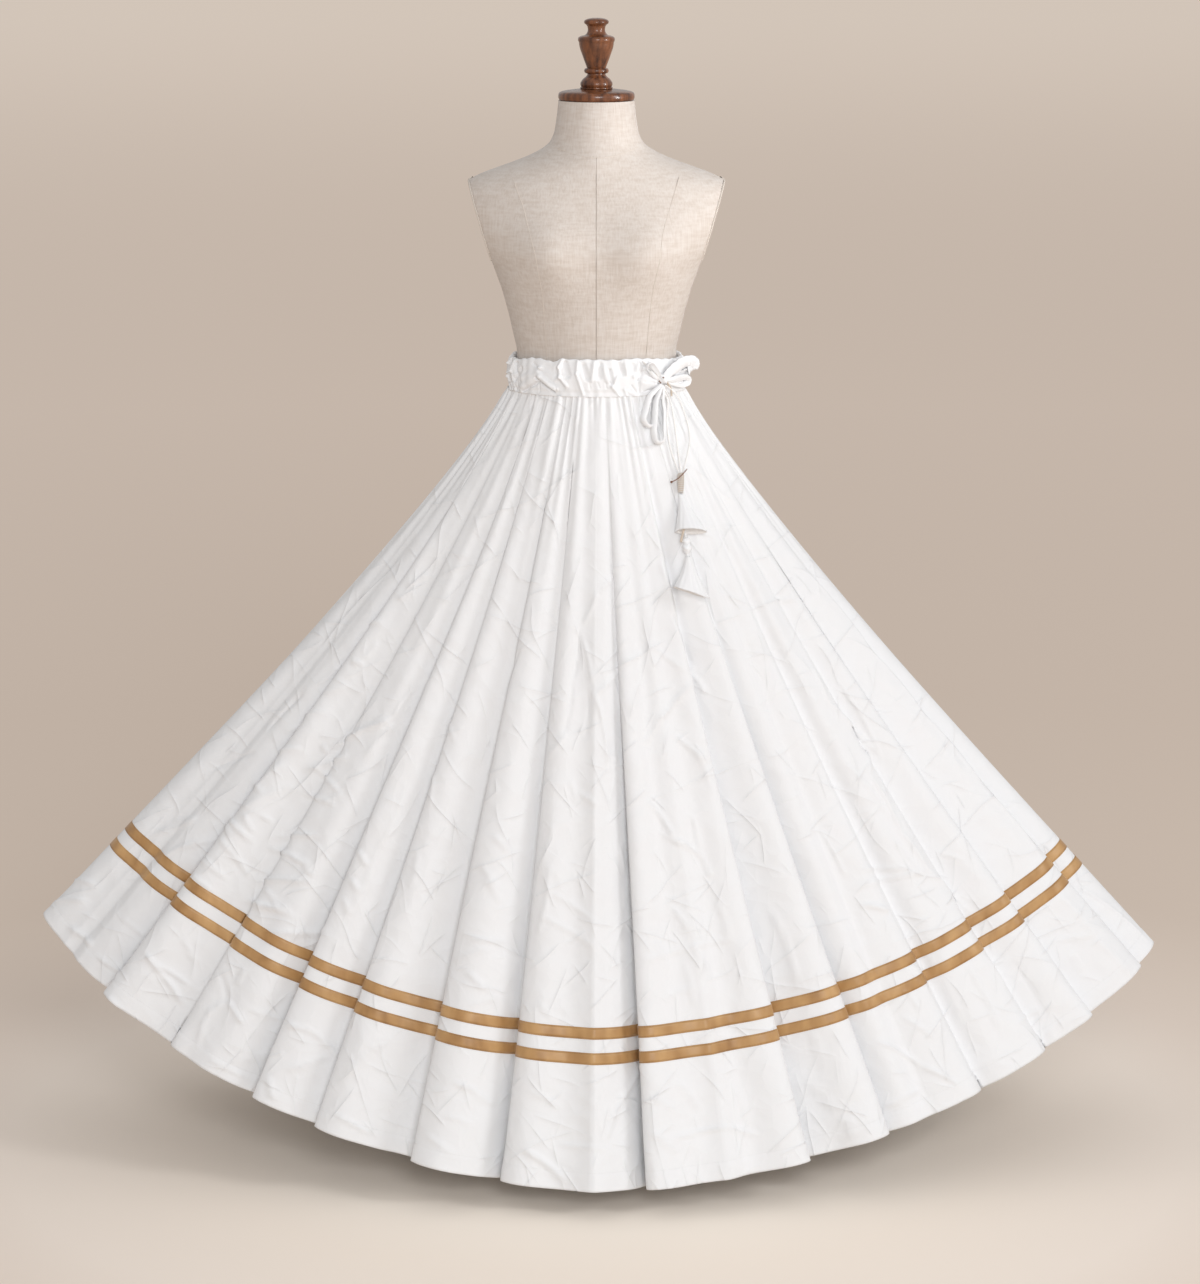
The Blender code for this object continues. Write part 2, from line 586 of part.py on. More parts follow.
def add_loop(row, knot, cotton):
    """One loop of the bow: a tape that leaves the knot, turns round at its far end and comes back."""
    loop = dict(zip(LOOP_COLUMNS, row))
    lean, twist = math.radians(loop["lean"]), math.radians(loop["twist"])
    off = Vector((knot.x / WAIST_HALF_WIDE ** 2, knot.y / WAIST_HALF_DEEP ** 2, 0)).normalized()
    round_waist = Vector((-off.y, off.x, 0))
    way = (round_waist * math.sin(lean) + off * loop["off"] - Vector((0, 0, math.cos(lean)))).normalized()
    across = way.cross(off).normalized()
    facing = across.cross(way).normalized()
    centres, widths = [], []
    for step in range(LOOP_STEPS + 1):
        place = step / LOOP_STEPS
        bow = math.sin(math.pi * place)
        reach = loop["start"] + (loop["long"] - loop["start"]) * bow ** 0.85
        layer = TAPE * 1.3 * math.cos(math.pi * place) + loop["fat"] * math.sin(2 * math.pi * place)
        centres.append(knot + way * reach + facing * layer)
        half = 0.5 * (LOOP_ROOT + (loop["wide"] - LOOP_ROOT) * bow ** 1.4)
        widths.append((across * math.cos(twist * bow) + facing * math.sin(twist * bow)) * half)
    points = []
    for step, (centre, width) in enumerate(zip(centres, widths)):
        heading = centres[min(step + 1, LOOP_STEPS)] - centres[max(step - 1, 0)]
        thick = heading.cross(width).normalized() * TAPE / 2
        points += [centre + width + thick, centre - width + thick, centre - width - thick, centre + width - thick]
    faces = [[0, 1, 2, 3], [4 * LOOP_STEPS + corner for corner in range(4)]]
    for step in range(LOOP_STEPS):
        for corner in range(4):
            after = (corner + 1) % 4
            faces.append([4 * step + corner, 4 * step + after, 4 * step + 4 + after, 4 * step + 4 + corner])
    add_mesh(loop["name"], points, faces, cotton)


def smooth_route(stops, spacing):
    """Evenly spaced points on a Catmull-Rom curve through the stops."""
    fine = []
    for index in range(len(stops) - 1):
        before, start = stops[max(index - 1, 0)], stops[index]
        end, after = stops[index + 1], stops[min(index + 2, len(stops) - 1)]
        for step in range(20):
            t = step / 20
            fine.append(0.5 * (
                2 * start + (end - before) * t + (2 * before - 5 * start + 4 * end - after) * t ** 2
                + (3 * start - before - 3 * end + after) * t ** 3
            ))
    fine.append(stops[-1])
    along = [0.0]
    for first, second in zip(fine, fine[1:]):
        along.append(along[-1] + (second - first).length)
    count = max(2, round(along[-1] / spacing))
    places = [along[-1] * step / count for step in range(count + 1)]
    return [Vector([float(np.interp(place, along, [point[axis] for point in fine])) for axis in range(3)])
            for place in places]


def add_cord(name, route, knot, wrap_top, cotton):
    curve = bpy.data.curves.new(name, "CURVE")
    curve.dimensions = "3D"
    curve.bevel_depth = CORD_RADIUS
    curve.bevel_resolution = 2
    curve.use_fill_caps = True
    aside = Vector((CORD_ENDS[name], 0, 0))
    start = knot + aside * CORD_STARTS + Vector((0, 0, -KNOT["radii"][2] - 3 * SEAM))
    end = wrap_top + aside + Vector((0, 0, 3 * SEAM))
    stops = [start, *(over_cloth(*stop) for stop in route), end]
    points = smooth_route(stops, CORD_SPACING)
    spline = curve.splines.new("POLY")
    spline.points.add(len(points) - 1)
    for target, point in zip(spline.points, points):
        target.co = (*point, 1.0)
    curve.materials.append(cotton)
    bpy.context.scene.collection.objects.link(bpy.data.objects.new(name, curve))


def add_tube_between(name, top, foot, rings, sides, material):
    """A turned piece whose axis runs from one point to another, from (share, radius) rows."""
    axis = (foot - top)
    across = axis.cross(Vector((0, 1, 0))).normalized()
    deep = axis.cross(across).normalized()
    points = [
        top + axis * share + (across * math.cos(turn) + deep * math.sin(turn)) * radius
        for share, radius in rings
        for turn in (2 * math.pi * side / sides for side in range(sides))
    ]
    faces = [
        [row * sides + side, row * sides + (side + 1) % sides,
         (row + 1) * sides + (side + 1) % sides, (row + 1) * sides + side]
        for row in range(len(rings) - 1)
        for side in range(sides)
    ]
    faces.append(list(range(sides)))
    faces.append([(len(rings) - 1) * sides + side for side in range(sides)])
    return add_mesh(name, points, faces, material, smooth_angle=50)


def add_bell(row, cotton):
    """A cloth bell: a gathered top that opens into an oval mouth, longer at its back."""
    bell = dict(zip(BELL_COLUMNS, row))
    top = over_cloth(bell["x"], bell["z"], bell["lift"])
    foot = over_cloth(bell["foot_x"], bell["foot_z"], bell["foot_lift"])
    outer, inner = [], []
    for share in (0.0, 0.12, 0.45, 0.8, 1.0):
        spread = share ** 1.15
        for rows, wall in ((outer, 0.0), (inner, BELL_WALL)):
            ring = []
            for side in range(BELL_SIDES):
                turn = 2 * math.pi * side / BELL_SIDES
                pleat = 1 + 0.10 * share * math.cos(3 * turn + 0.6)
                wide = BELL_TOP_RADIUS + (bell["half_wide"] - BELL_TOP_RADIUS) * spread * pleat - wall
                deep = BELL_TOP_RADIUS + (bell["half_deep"] - BELL_TOP_RADIUS) * spread - wall
                point = top.lerp(foot, share)
                point = point + Vector((wide * math.sin(turn), -deep * math.cos(turn), 0))
                point.z -= bell["back_drop"] * share ** 3 * (0.5 - 0.5 * math.cos(turn))
                point.z += bell["slant"] * share ** 2 * math.sin(turn)
                ring.append(point)
            rows.append(ring)
    add_wall(bell["name"], np.array(outer), np.array(inner), True, cotton)


def build_bow(cotton, thread):
    knot = over_cloth(KNOT["x"], KNOT["z"], KNOT["lift"])
    mesh = bpy.data.meshes.new("bow_knot")
    work = bmesh.new()
    bmesh.ops.create_uvsphere(work, u_segments=12, v_segments=8, radius=1.0)
    for point in work.verts:
        point.co = Vector([size * value for size, value in zip(KNOT["radii"], point.co)]) + knot
    work.to_mesh(mesh)
    work.free()
    mesh.materials.append(cotton)
    mesh.shade_smooth()
    bpy.context.scene.collection.objects.link(bpy.data.objects.new("bow_knot", mesh))
    for row in BOW_LOOPS:
        add_loop(row, knot, cotton)
    top = over_cloth(WRAP["x"], WRAP["top"], WRAP["lift"])
    for name, route in CORD_ROUTES.items():
        add_cord(name, route, knot, top, cotton)
    foot = over_cloth(WRAP["x"], WRAP["foot"], WRAP["lift"])
    radius = WRAP["radius"]
    add_tube_between(
        "tassel_wrap", top, foot, ((0, 0.8 * radius), (0.1, radius), (0.8, 0.9 * radius), (1, 0.7 * radius)), 12, thread
    )
    for row in BELLS:
        add_bell(row, cotton)
    link_top, link_foot = (over_cloth(row[1], row[2] - 2 * SEAM, row[3]) for row in BELLS)
    strand, bead = LINK_STRAND, LINK_BEAD
    add_tube_between(
        "tassel_link", link_top, link_foot,
        ((0, strand), (0.67, strand), (0.73, bead), (0.79, 0.75 * bead), (0.87, 1.05 * bead), (0.95, strand), (1, strand)),
        6, cotton
    )


def main():
    for old in list(bpy.data.objects):
        bpy.data.objects.remove(old, do_unlink=True)
    cotton = make_material("white_cotton", (0.86, 0.86, 0.87), 0.75)
    satin = make_material("gold_satin", (0.48, 0.30, 0.14), 0.45)
    linen = make_material("ivory_linen", (0.80, 0.72, 0.64), 0.85)
    wood = make_material("walnut", (0.16, 0.06, 0.03), 0.25)
    metal = make_material("steel", (0.35, 0.33, 0.31), 0.35, 1.0)
    thread = make_material("tan_thread", (0.62, 0.48, 0.36), 0.8)
    build_form(linen, wood, metal)
    build_skirt(cotton, satin)
    build_band(cotton)
    build_bow(cotton, thread)


main()
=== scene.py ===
"""A white cotton maxi skirt with two gold ribbons and a tasselled drawstring, dressed on a limbless form."""

import json
import math

import bpy
import numpy as np
from mathutils import Vector
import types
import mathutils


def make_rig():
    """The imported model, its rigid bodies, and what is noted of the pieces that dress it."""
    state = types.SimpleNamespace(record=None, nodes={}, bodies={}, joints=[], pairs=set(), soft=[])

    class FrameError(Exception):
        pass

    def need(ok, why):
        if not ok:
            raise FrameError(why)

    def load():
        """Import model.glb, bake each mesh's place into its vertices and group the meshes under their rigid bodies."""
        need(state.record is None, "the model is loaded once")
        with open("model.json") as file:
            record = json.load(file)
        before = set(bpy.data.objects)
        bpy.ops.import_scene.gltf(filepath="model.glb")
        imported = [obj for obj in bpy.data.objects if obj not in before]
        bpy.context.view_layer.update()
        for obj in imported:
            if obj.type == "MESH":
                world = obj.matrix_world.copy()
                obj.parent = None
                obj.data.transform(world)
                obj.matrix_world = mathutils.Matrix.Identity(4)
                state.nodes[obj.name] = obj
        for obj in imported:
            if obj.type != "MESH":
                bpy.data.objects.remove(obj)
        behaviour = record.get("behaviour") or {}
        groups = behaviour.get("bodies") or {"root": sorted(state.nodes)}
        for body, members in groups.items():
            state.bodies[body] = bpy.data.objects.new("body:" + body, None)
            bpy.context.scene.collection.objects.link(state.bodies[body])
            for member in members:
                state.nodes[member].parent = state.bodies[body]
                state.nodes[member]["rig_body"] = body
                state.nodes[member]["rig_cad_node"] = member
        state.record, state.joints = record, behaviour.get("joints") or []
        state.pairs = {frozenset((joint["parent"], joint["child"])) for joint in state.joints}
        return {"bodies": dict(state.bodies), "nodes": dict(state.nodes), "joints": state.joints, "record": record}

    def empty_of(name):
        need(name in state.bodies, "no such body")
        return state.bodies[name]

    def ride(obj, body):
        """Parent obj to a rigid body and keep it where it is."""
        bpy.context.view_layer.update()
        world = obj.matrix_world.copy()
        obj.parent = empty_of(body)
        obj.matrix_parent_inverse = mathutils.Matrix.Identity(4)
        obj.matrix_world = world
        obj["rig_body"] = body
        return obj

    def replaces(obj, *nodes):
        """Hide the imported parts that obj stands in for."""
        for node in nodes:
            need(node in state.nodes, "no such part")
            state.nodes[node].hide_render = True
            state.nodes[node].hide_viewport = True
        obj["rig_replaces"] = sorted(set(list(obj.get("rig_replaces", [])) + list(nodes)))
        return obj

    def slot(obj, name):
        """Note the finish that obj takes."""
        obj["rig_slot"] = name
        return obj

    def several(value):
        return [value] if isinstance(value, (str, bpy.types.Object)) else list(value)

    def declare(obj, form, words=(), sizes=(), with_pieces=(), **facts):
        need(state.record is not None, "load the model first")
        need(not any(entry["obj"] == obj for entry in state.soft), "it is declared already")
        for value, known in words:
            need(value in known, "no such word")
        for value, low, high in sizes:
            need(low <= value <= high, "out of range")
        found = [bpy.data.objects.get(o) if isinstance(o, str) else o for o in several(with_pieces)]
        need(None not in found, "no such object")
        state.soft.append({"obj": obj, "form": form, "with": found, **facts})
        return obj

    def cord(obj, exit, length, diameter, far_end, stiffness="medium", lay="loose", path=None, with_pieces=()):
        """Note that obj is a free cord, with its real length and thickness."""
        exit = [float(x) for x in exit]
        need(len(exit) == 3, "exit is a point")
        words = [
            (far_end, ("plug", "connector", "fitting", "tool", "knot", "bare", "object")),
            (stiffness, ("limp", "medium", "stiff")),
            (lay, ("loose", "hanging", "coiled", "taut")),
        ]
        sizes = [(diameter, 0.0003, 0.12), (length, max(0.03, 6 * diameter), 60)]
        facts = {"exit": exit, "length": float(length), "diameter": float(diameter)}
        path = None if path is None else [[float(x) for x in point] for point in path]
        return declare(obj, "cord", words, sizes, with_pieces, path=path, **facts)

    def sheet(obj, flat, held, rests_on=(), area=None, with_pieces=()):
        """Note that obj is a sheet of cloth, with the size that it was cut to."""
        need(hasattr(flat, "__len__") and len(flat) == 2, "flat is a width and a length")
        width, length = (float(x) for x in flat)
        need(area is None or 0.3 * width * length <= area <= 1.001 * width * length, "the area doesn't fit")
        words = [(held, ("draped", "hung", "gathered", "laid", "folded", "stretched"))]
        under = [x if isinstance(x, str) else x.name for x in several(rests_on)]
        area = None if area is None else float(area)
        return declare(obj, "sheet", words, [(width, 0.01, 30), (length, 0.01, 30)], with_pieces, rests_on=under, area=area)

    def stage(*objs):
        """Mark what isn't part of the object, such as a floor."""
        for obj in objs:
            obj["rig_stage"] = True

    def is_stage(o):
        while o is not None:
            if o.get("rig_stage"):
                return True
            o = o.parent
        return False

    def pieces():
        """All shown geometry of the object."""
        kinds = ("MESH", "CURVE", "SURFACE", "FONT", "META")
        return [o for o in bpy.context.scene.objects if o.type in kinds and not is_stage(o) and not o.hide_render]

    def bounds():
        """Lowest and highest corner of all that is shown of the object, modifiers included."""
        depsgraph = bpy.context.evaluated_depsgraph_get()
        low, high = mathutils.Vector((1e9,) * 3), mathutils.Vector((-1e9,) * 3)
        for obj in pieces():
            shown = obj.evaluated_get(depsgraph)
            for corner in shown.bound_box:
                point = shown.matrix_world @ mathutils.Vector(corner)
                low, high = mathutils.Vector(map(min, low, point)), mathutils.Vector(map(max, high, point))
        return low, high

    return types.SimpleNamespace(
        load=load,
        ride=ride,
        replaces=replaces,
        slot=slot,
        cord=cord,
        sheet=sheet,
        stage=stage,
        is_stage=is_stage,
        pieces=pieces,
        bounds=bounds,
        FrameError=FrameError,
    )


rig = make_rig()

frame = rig.load()
cad_low, cad_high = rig.bounds()

# Camera
# Stands a little above the form's neck cap, some five metres in front, and looks down slightly,
# with a long lens that keeps the outline of the spread skirt true.
CAMERA_PLACE = (0.0049, -5.2635, 1.7992)
CAMERA_TILT = 11.6232  # degrees below the horizon
CAMERA_LENS = 106.35

camera_data = bpy.data.cameras.new("camera")
camera_data.lens = CAMERA_LENS
camera_data.sensor_width = 36
camera = bpy.data.objects.new("camera", camera_data)
camera.location = CAMERA_PLACE
camera.rotation_euler = (math.radians(90 - CAMERA_TILT), 0, 0)
bpy.context.scene.collection.objects.link(camera)
bpy.context.scene.camera = camera

# Cut and hang of the skirt
# Four gores of crisp cotton hang from the waist seam and spread sideways like a fan. These functions give
# any point of the cloth: "turn" runs round the hem, 0 at the left side, 1 at the right side by way of the
# front and 2 at the left side again by way of the back, and "drop" runs from 0 at the waist to 1 at the hem.
COTTON = 0.0016
SEAM = 0.0003
WAIST_HEIGHT = 1.080
WAIST_HALF_WIDE, WAIST_HALF_DEEP = 0.1222, 0.0975
HEM_LEFT, HEM_RIGHT, HEM_DEEP = 0.790, 0.801, 0.345
HEM_POINT = 1.34
LENGTH_FRONT = 1.083
SHORTER_LEFT, SHORTER_RIGHT, SHORTER_POWER = 0.070, 0.032, 1.80
SAG_FRONT, SAG_SIDE, SAG_PLACE = 0.003, 0.020, 0.65
FAN = 0.6
FOLD_GROWTH = 1.1
LAP = 0.026
HOOK = 6 * (6 / 5) ** 5
GATHER, GATHER_FADE = 0.0020, 0.45
EDGE_SOFT, EDGE_SHARP = 1.3, 6.5

# One row for each fold of half the hem, from the left side to the right: its share of the hem, how far it
# stands out, how far the groove before it does, and how far it laps over to the left and to the right
FRONT_FOLDS = (
    (0.0455, 0.018, 0.000, 0.1, 0.0), (0.0455, 0.024, 0.004, 0.2, 0.0), (0.0578, 0.032, 0.000, 1.0, 0.0),
    (0.0769, 0.035, 0.010, 0.4, 0.0), (0.0541, 0.034, 0.002, 1.0, 0.0), (0.0769, 0.032, 0.004, 1.0, 0.0),
    (0.0662, 0.040, 0.002, 1.0, 0.3), (0.0717, 0.043, 0.000, 0.5, 0.0), (0.0418, 0.040, 0.045, 0.0, 0.0),
    (0.0587, 0.050, 0.010, 1.0, 0.0), (0.0588, 0.047, 0.044, 0.0, 1.0), (0.0680, 0.042, 0.000, 0.0, 1.0),
    (0.0424, 0.038, 0.002, 0.0, 0.1), (0.0424, 0.035, 0.024, 0.1, 0.4), (0.0599, 0.034, 0.010, 0.0, 0.6),
    (0.0437, 0.030, 0.006, 0.0, 0.8), (0.0558, 0.026, 0.004, 0.0, 0.8), (0.0325, 0.016, 0.002, 0.0, 0.1),
)
BACK_FOLDS = (
    (0.0430, 0.018, 0.000, 0.1, 0.0), (0.0520, 0.025, 0.003, 0.8, 0.0), (0.0640, 0.031, 0.002, 0.9, 0.0),
    (0.0560, 0.034, 0.004, 1.0, 0.0), (0.0710, 0.033, 0.002, 0.9, 0.0), (0.0520, 0.038, 0.006, 0.8, 0.0),
    (0.0660, 0.041, 0.000, 0.9, 0.3), (0.0640, 0.038, 0.002, 0.4, 0.0), (0.0500, 0.044, 0.030, 0.1, 0.3),
    (0.0680, 0.043, 0.004, 0.3, 0.9), (0.0560, 0.040, 0.002, 0.0, 1.0), (0.0500, 0.034, 0.020, 0.0, 0.3),
    (0.0620, 0.036, 0.002, 0.0, 1.0), (0.0540, 0.033, 0.004, 0.0, 0.9), (0.0620, 0.030, 0.002, 0.0, 0.9),
    (0.0520, 0.027, 0.006, 0.0, 0.8), (0.0480, 0.023, 0.003, 0.0, 0.7), (0.0300, 0.015, 0.002, 0.0, 0.1),
)
SEAM_FOLD = 9  # gores meet in the groove before this fold, in front and at the back


def signed_power(value, power):
    return np.sign(value) * np.abs(value) ** power


def hem_plan(angle):
    wide = np.where(angle < 0, HEM_LEFT, HEM_RIGHT)
    return wide * signed_power(np.sin(angle), HEM_POINT), -HEM_DEEP * np.cos(angle) ** HEM_POINT


PLAN_ANGLES = np.linspace(-math.pi / 2, math.pi / 2, 2001)
PLAN_X, PLAN_Y = hem_plan(PLAN_ANGLES)
PLAN_ALONG = np.concatenate([[0.0], np.cumsum(np.hypot(np.diff(PLAN_X), np.diff(PLAN_Y)))])
HALF_HEM = PLAN_ALONG[-1]
PLAN_SHARE = PLAN_ALONG / HALF_HEM
FRONT_SHARE = float(np.interp(0.0, PLAN_ANGLES, PLAN_SHARE))


def share_of(turn):
    """Place along the half hem, and -1 on the front or 1 on the back."""
    turn = np.mod(turn, 2.0)
    return np.where(turn <= 1, turn, 2 - turn), np.where(turn <= 1, -1.0, 1.0)


def waist_angle(share, angle, hem_x):
    """Where a line of the cloth starts round the waist, as an angle from the front."""
    fan = np.arcsin(np.clip(hem_x / np.where(angle < 0, HEM_LEFT, HEM_RIGHT), -1, 1))
    spread = (share - FRONT_SHARE) / np.where(share < FRONT_SHARE, FRONT_SHARE, 1 - FRONT_SHARE) * math.pi / 2
    return FAN * fan + (1 - FAN) * spread


def smooth_skirt(turn, drop):
    """The skirt's mean surface, without folds."""
    share, side = share_of(turn)
    angle = np.interp(share, PLAN_SHARE, PLAN_ANGLES)
    hem_x, hem_y = hem_plan(angle)
    hem_y = hem_y * -side
    waist = waist_angle(share, angle, hem_x)
    waist_x, waist_y = WAIST_HALF_WIDE * np.sin(waist), side * WAIST_HALF_DEEP * np.cos(waist)
    shorter = np.where(angle < 0, SHORTER_LEFT, SHORTER_RIGHT)
    length = LENGTH_FRONT - shorter * np.abs(np.sin(angle)) ** SHORTER_POWER
    reach = np.hypot(hem_x - waist_x, hem_y - waist_y)
    fall = np.sqrt(length ** 2 - reach ** 2)
    sag = SAG_FRONT + (SAG_SIDE - SAG_FRONT) * np.sin(angle) ** 2
    sag = sag * np.sin(math.pi * signed_power(drop, SAG_PLACE))
    sideways = drop - sag * fall / (length * reach)
    return np.stack(np.broadcast_arrays(
        waist_x + (hem_x - waist_x) * sideways,
        waist_y + (hem_y - waist_y) * sideways,
        WAIST_HEIGHT - fall * drop - sag * reach / length,
    ), axis=-1)


def directions(surface, turn, drop):
    """Unit vectors along the hem and out of the cloth."""
    step = 0.002
    along = surface(turn + step, drop) - surface(turn - step, drop)
    down = surface(turn, np.minimum(drop + step, 1.02)) - surface(turn, drop - step)
    out = np.cross(down, along)
    along = along / np.linalg.norm(along, axis=-1, keepdims=True)
    return along, out / np.linalg.norm(out, axis=-1, keepdims=True)


def fold_edges(folds):
    shares = np.array([fold[0] for fold in folds])
    return np.concatenate([[0.0], np.cumsum(shares / shares.sum())])


def half_folds(folds, share):
    """How far the folds of one half stand out and lap over at the hem, and the place within each fold."""
    edges = fold_edges(folds)
    fold = np.clip(np.searchsorted(edges, share, side="right") - 1, 0, len(folds) - 1)
    phase = np.clip((share - edges[fold]) / np.diff(edges)[fold], 0, 1)
    _, depth, _, left, right = (np.array(values)[fold] for values in zip(*folds))
    grooves = np.append([row[2] for row in folds], 0.0)
    floor = grooves[fold] + (grooves[fold + 1] - grooves[fold]) * phase
    rise = 1 - (1 - phase) ** (EDGE_SOFT + EDGE_SHARP * left)
    fall = 1 - phase ** (EDGE_SOFT + EDGE_SHARP * right)
    out = floor + (depth - floor) * rise * fall

    def hook(place):
        return HOOK * place * (1 - place) ** 5

    lap = LAP * (right * hook(1 - phase) - left * hook(phase))
    return out, lap, phase


def folds_at(turn):
    share, side = share_of(turn)
    front, back = half_folds(FRONT_FOLDS, share), half_folds(BACK_FOLDS, share)
    out, lap, phase = (np.where(side < 0, a, b) for a, b in zip(front, back))
    return out, lap * -side, phase


def skirt(turn, drop):
    """The outside of the skirt's cloth with its folds and gathers."""
    turn, drop = np.broadcast_arrays(np.asarray(turn, float), np.asarray(drop, float))
    out, lap, phase = folds_at(turn)
    along, outward = directions(smooth_skirt, turn, np.ones_like(turn))
    outward_top = directions(smooth_skirt, turn, np.zeros_like(turn) + 0.01)[1]
    gather = GATHER * np.cos(4 * math.pi * phase) * np.clip(1 - drop / GATHER_FADE, 0, 1) ** 2
    grown = signed_power(drop, FOLD_GROWTH)
    return (
        smooth_skirt(turn, drop)
        + outward * (out * grown)[..., None]
        + along * (lap * grown)[..., None]
        + outward_top * gather[..., None]
    )


# Drawstring
# Three lengths of fine white cotton cord hang from the knot of the bow, cross a little and end under the
# thread that is wound round the tassel's head. They hang free of the cloth.
FORM_HALF_WIDE, FORM_HALF_DEEP = 0.111, 0.086  # the dress form's half sizes at the waist
BAND_DEEP = 0.0105
KNOT = {"x": 0.0908, "z": 1.1010, "lift": 0.0068, "radii": (0.0080, 0.0055, 0.0070)}
CORD_RADIUS = 0.0010
CORD_SPACING = 0.0058
CORD_ENDS = {"drawstring_left": -0.0026, "drawstring_middle": 0.0, "drawstring_right": 0.0026}
CORD_STARTS = 1.4
CORD_ROUTES = {
    "drawstring_left": ((0.0925, 1.0700, 0.0070), (0.0950, 1.0400, 0.0055), (0.0990, 1.0069, 0.0060)),
    "drawstring_middle": ((0.0975, 1.0700, 0.0065), (0.1030, 1.0429, 0.0050), (0.1085, 1.0060, 0.0050)),
    "drawstring_right": ((0.1050, 1.0733, 0.0070), (0.1190, 1.0410, 0.0060), (0.1240, 1.0110, 0.0060)),
}
WRAP = {"x": 0.1120, "top": 0.9712, "foot": 0.9452, "radius": 0.0042, "lift": 0.0085}


def over_cloth(x, z, lift):
    """A point in front of the skirt or its waistband, by where it is in front view."""
    if z > WAIST_HEIGHT:
        half_wide, half_deep = FORM_HALF_WIDE + BAND_DEEP + COTTON, FORM_HALF_DEEP + BAND_DEEP + COTTON
        return Vector((x, -half_deep * math.sqrt(max(0.02, 1 - (x / half_wide) ** 2)) - lift, z))
    turn, drop = 0.6, (WAIST_HEIGHT - z) / (LENGTH_FRONT * 0.95)
    for _ in range(30):
        point = smooth_skirt(turn, drop)
        turn += (x - float(point[0])) / (2 * HALF_HEM * max(drop, 0.12))
        drop += (float(point[2]) - z) / LENGTH_FRONT
        turn, drop = min(max(turn, 0.02), 0.98), min(max(drop, 0.0), 1.0)
    return Vector(map(float, skirt(turn, drop) + directions(smooth_skirt, turn, drop)[1] * lift))


def smooth_route(stops, spacing):
    """Evenly spaced points on a Catmull-Rom curve through the stops."""
    fine = []
    for index in range(len(stops) - 1):
        before, start = stops[max(index - 1, 0)], stops[index]
        end, after = stops[index + 1], stops[min(index + 2, len(stops) - 1)]
        for step in range(20):
            t = step / 20
            fine.append(0.5 * (
                2 * start + (end - before) * t + (2 * before - 5 * start + 4 * end - after) * t ** 2
                + (3 * start - before - 3 * end + after) * t ** 3
            ))
    fine.append(stops[-1])
    along = [0.0]
    for first, second in zip(fine, fine[1:]):
        along.append(along[-1] + (second - first).length)
    count = max(2, round(along[-1] / spacing))
    places = [along[-1] * step / count for step in range(count + 1)]
    return [Vector([float(np.interp(place, along, [point[axis] for point in fine])) for axis in range(3)])
            for place in places]


def new_finish(name, colour, roughness, **sockets):
    """A material and its shader, with what is the same all over set on the shader's own sockets."""
    finish = bpy.data.materials.new(name)
    finish.use_nodes = True
    shader = finish.node_tree.nodes["Principled BSDF"]
    shader.inputs["Base Color"].default_value = (*colour, 1.0)
    shader.inputs["Roughness"].default_value = roughness
    for socket, value in sockets.items():
        shader.inputs[socket.replace("_", " ")].default_value = value
    return finish, shader


def add_node(finish, kind, settings=None, **inputs):
    """A shader node whose inputs are values or the outputs of other nodes."""
    made = finish.node_tree.nodes.new(kind)
    for name, value in (settings or {}).items():
        setattr(made, name, value)
    for name, value in inputs.items():
        socket = made.inputs[int(name[1:])] if name[0] == "_" else made.inputs[name.replace("_", " ")]
        if isinstance(value, bpy.types.NodeSocket):
            finish.node_tree.links.new(value, socket)
        else:
            socket.default_value = value
    return made


def add_math(finish, operation, first, second):
    return add_node(finish, "ShaderNodeMath", {"operation": operation}, _0=first, _1=second).outputs[0]


def add_noise(finish, place, stretch, scale, detail=2.0, turned=(0, 0, 0)):
    """Noise over a place that is turned and stretched first."""
    mapped = add_node(finish, "ShaderNodeMapping", Vector=place, Scale=stretch, Rotation=turned).outputs[0]
    return add_node(finish, "ShaderNodeTexNoise", Vector=mapped, Scale=scale, Detail=detail).outputs["Fac"]


def add_range(finish, value, low, high, to_low=0.0, to_high=1.0):
    return add_node(finish, "ShaderNodeMapRange", Value=value, From_Min=low, From_Max=high,
                    To_Min=to_low, To_Max=to_high).outputs[0]


def add_ramp(finish, value, *stops):
    """A colour for each value, from (place, colour) stops."""
    ramp = add_node(finish, "ShaderNodeValToRGB", Fac=value)
    points = ramp.color_ramp.elements
    while len(points) < len(stops):
        points.new(0.5)
    for point, (place, colour) in zip(points, stops):
        point.position, point.color = place, (*colour, 1)
    return ramp.outputs["Color"]


def add_bump(finish, height, distance, under=None):
    inputs = {"Height": height, "Distance": distance, "Strength": 1.0}
    if under is not None:
        inputs["Normal"] = under
    return add_node(finish, "ShaderNodeBump", **inputs).outputs["Normal"]


def join_finish(finish, shader, colour=None, normal=None, roughness=None):
    for socket, value in (("Base Color", colour), ("Normal", normal), ("Roughness", roughness)):
        if value is not None:
            finish.node_tree.links.new(value, shader.inputs[socket])
    return finish


def cord_finish(name, pale, deep, scale):
    """Twisted cord or thread: slanted plies, painted darker in the hollows between them as painted shade."""
    finish, shader = new_finish(name, pale, 0.7, Sheen_Weight=0.15)
    place = add_node(finish, "ShaderNodeTexCoord").outputs["Object"]
    plies = add_node(finish, "ShaderNodeTexWave", {"bands_direction": "DIAGONAL"}, Vector=place, Scale=scale)
    plies = plies.outputs["Fac"]
    return join_finish(finish, shader, add_ramp(finish, plies, (0.0, deep), (0.7, pale)),
                       add_bump(finish, plies, 0.0003))


def show(made, *replaced, slot="cotton"):
    """Put a piece into the scene, on the part's own body, in the place of the solids that it dresses."""
    if made.name not in bpy.context.scene.collection.objects:
        bpy.context.scene.collection.objects.link(made)
    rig.ride(made, "root")
    if replaced:
        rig.replaces(made, *replaced)
    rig.slot(made, slot)
    return made


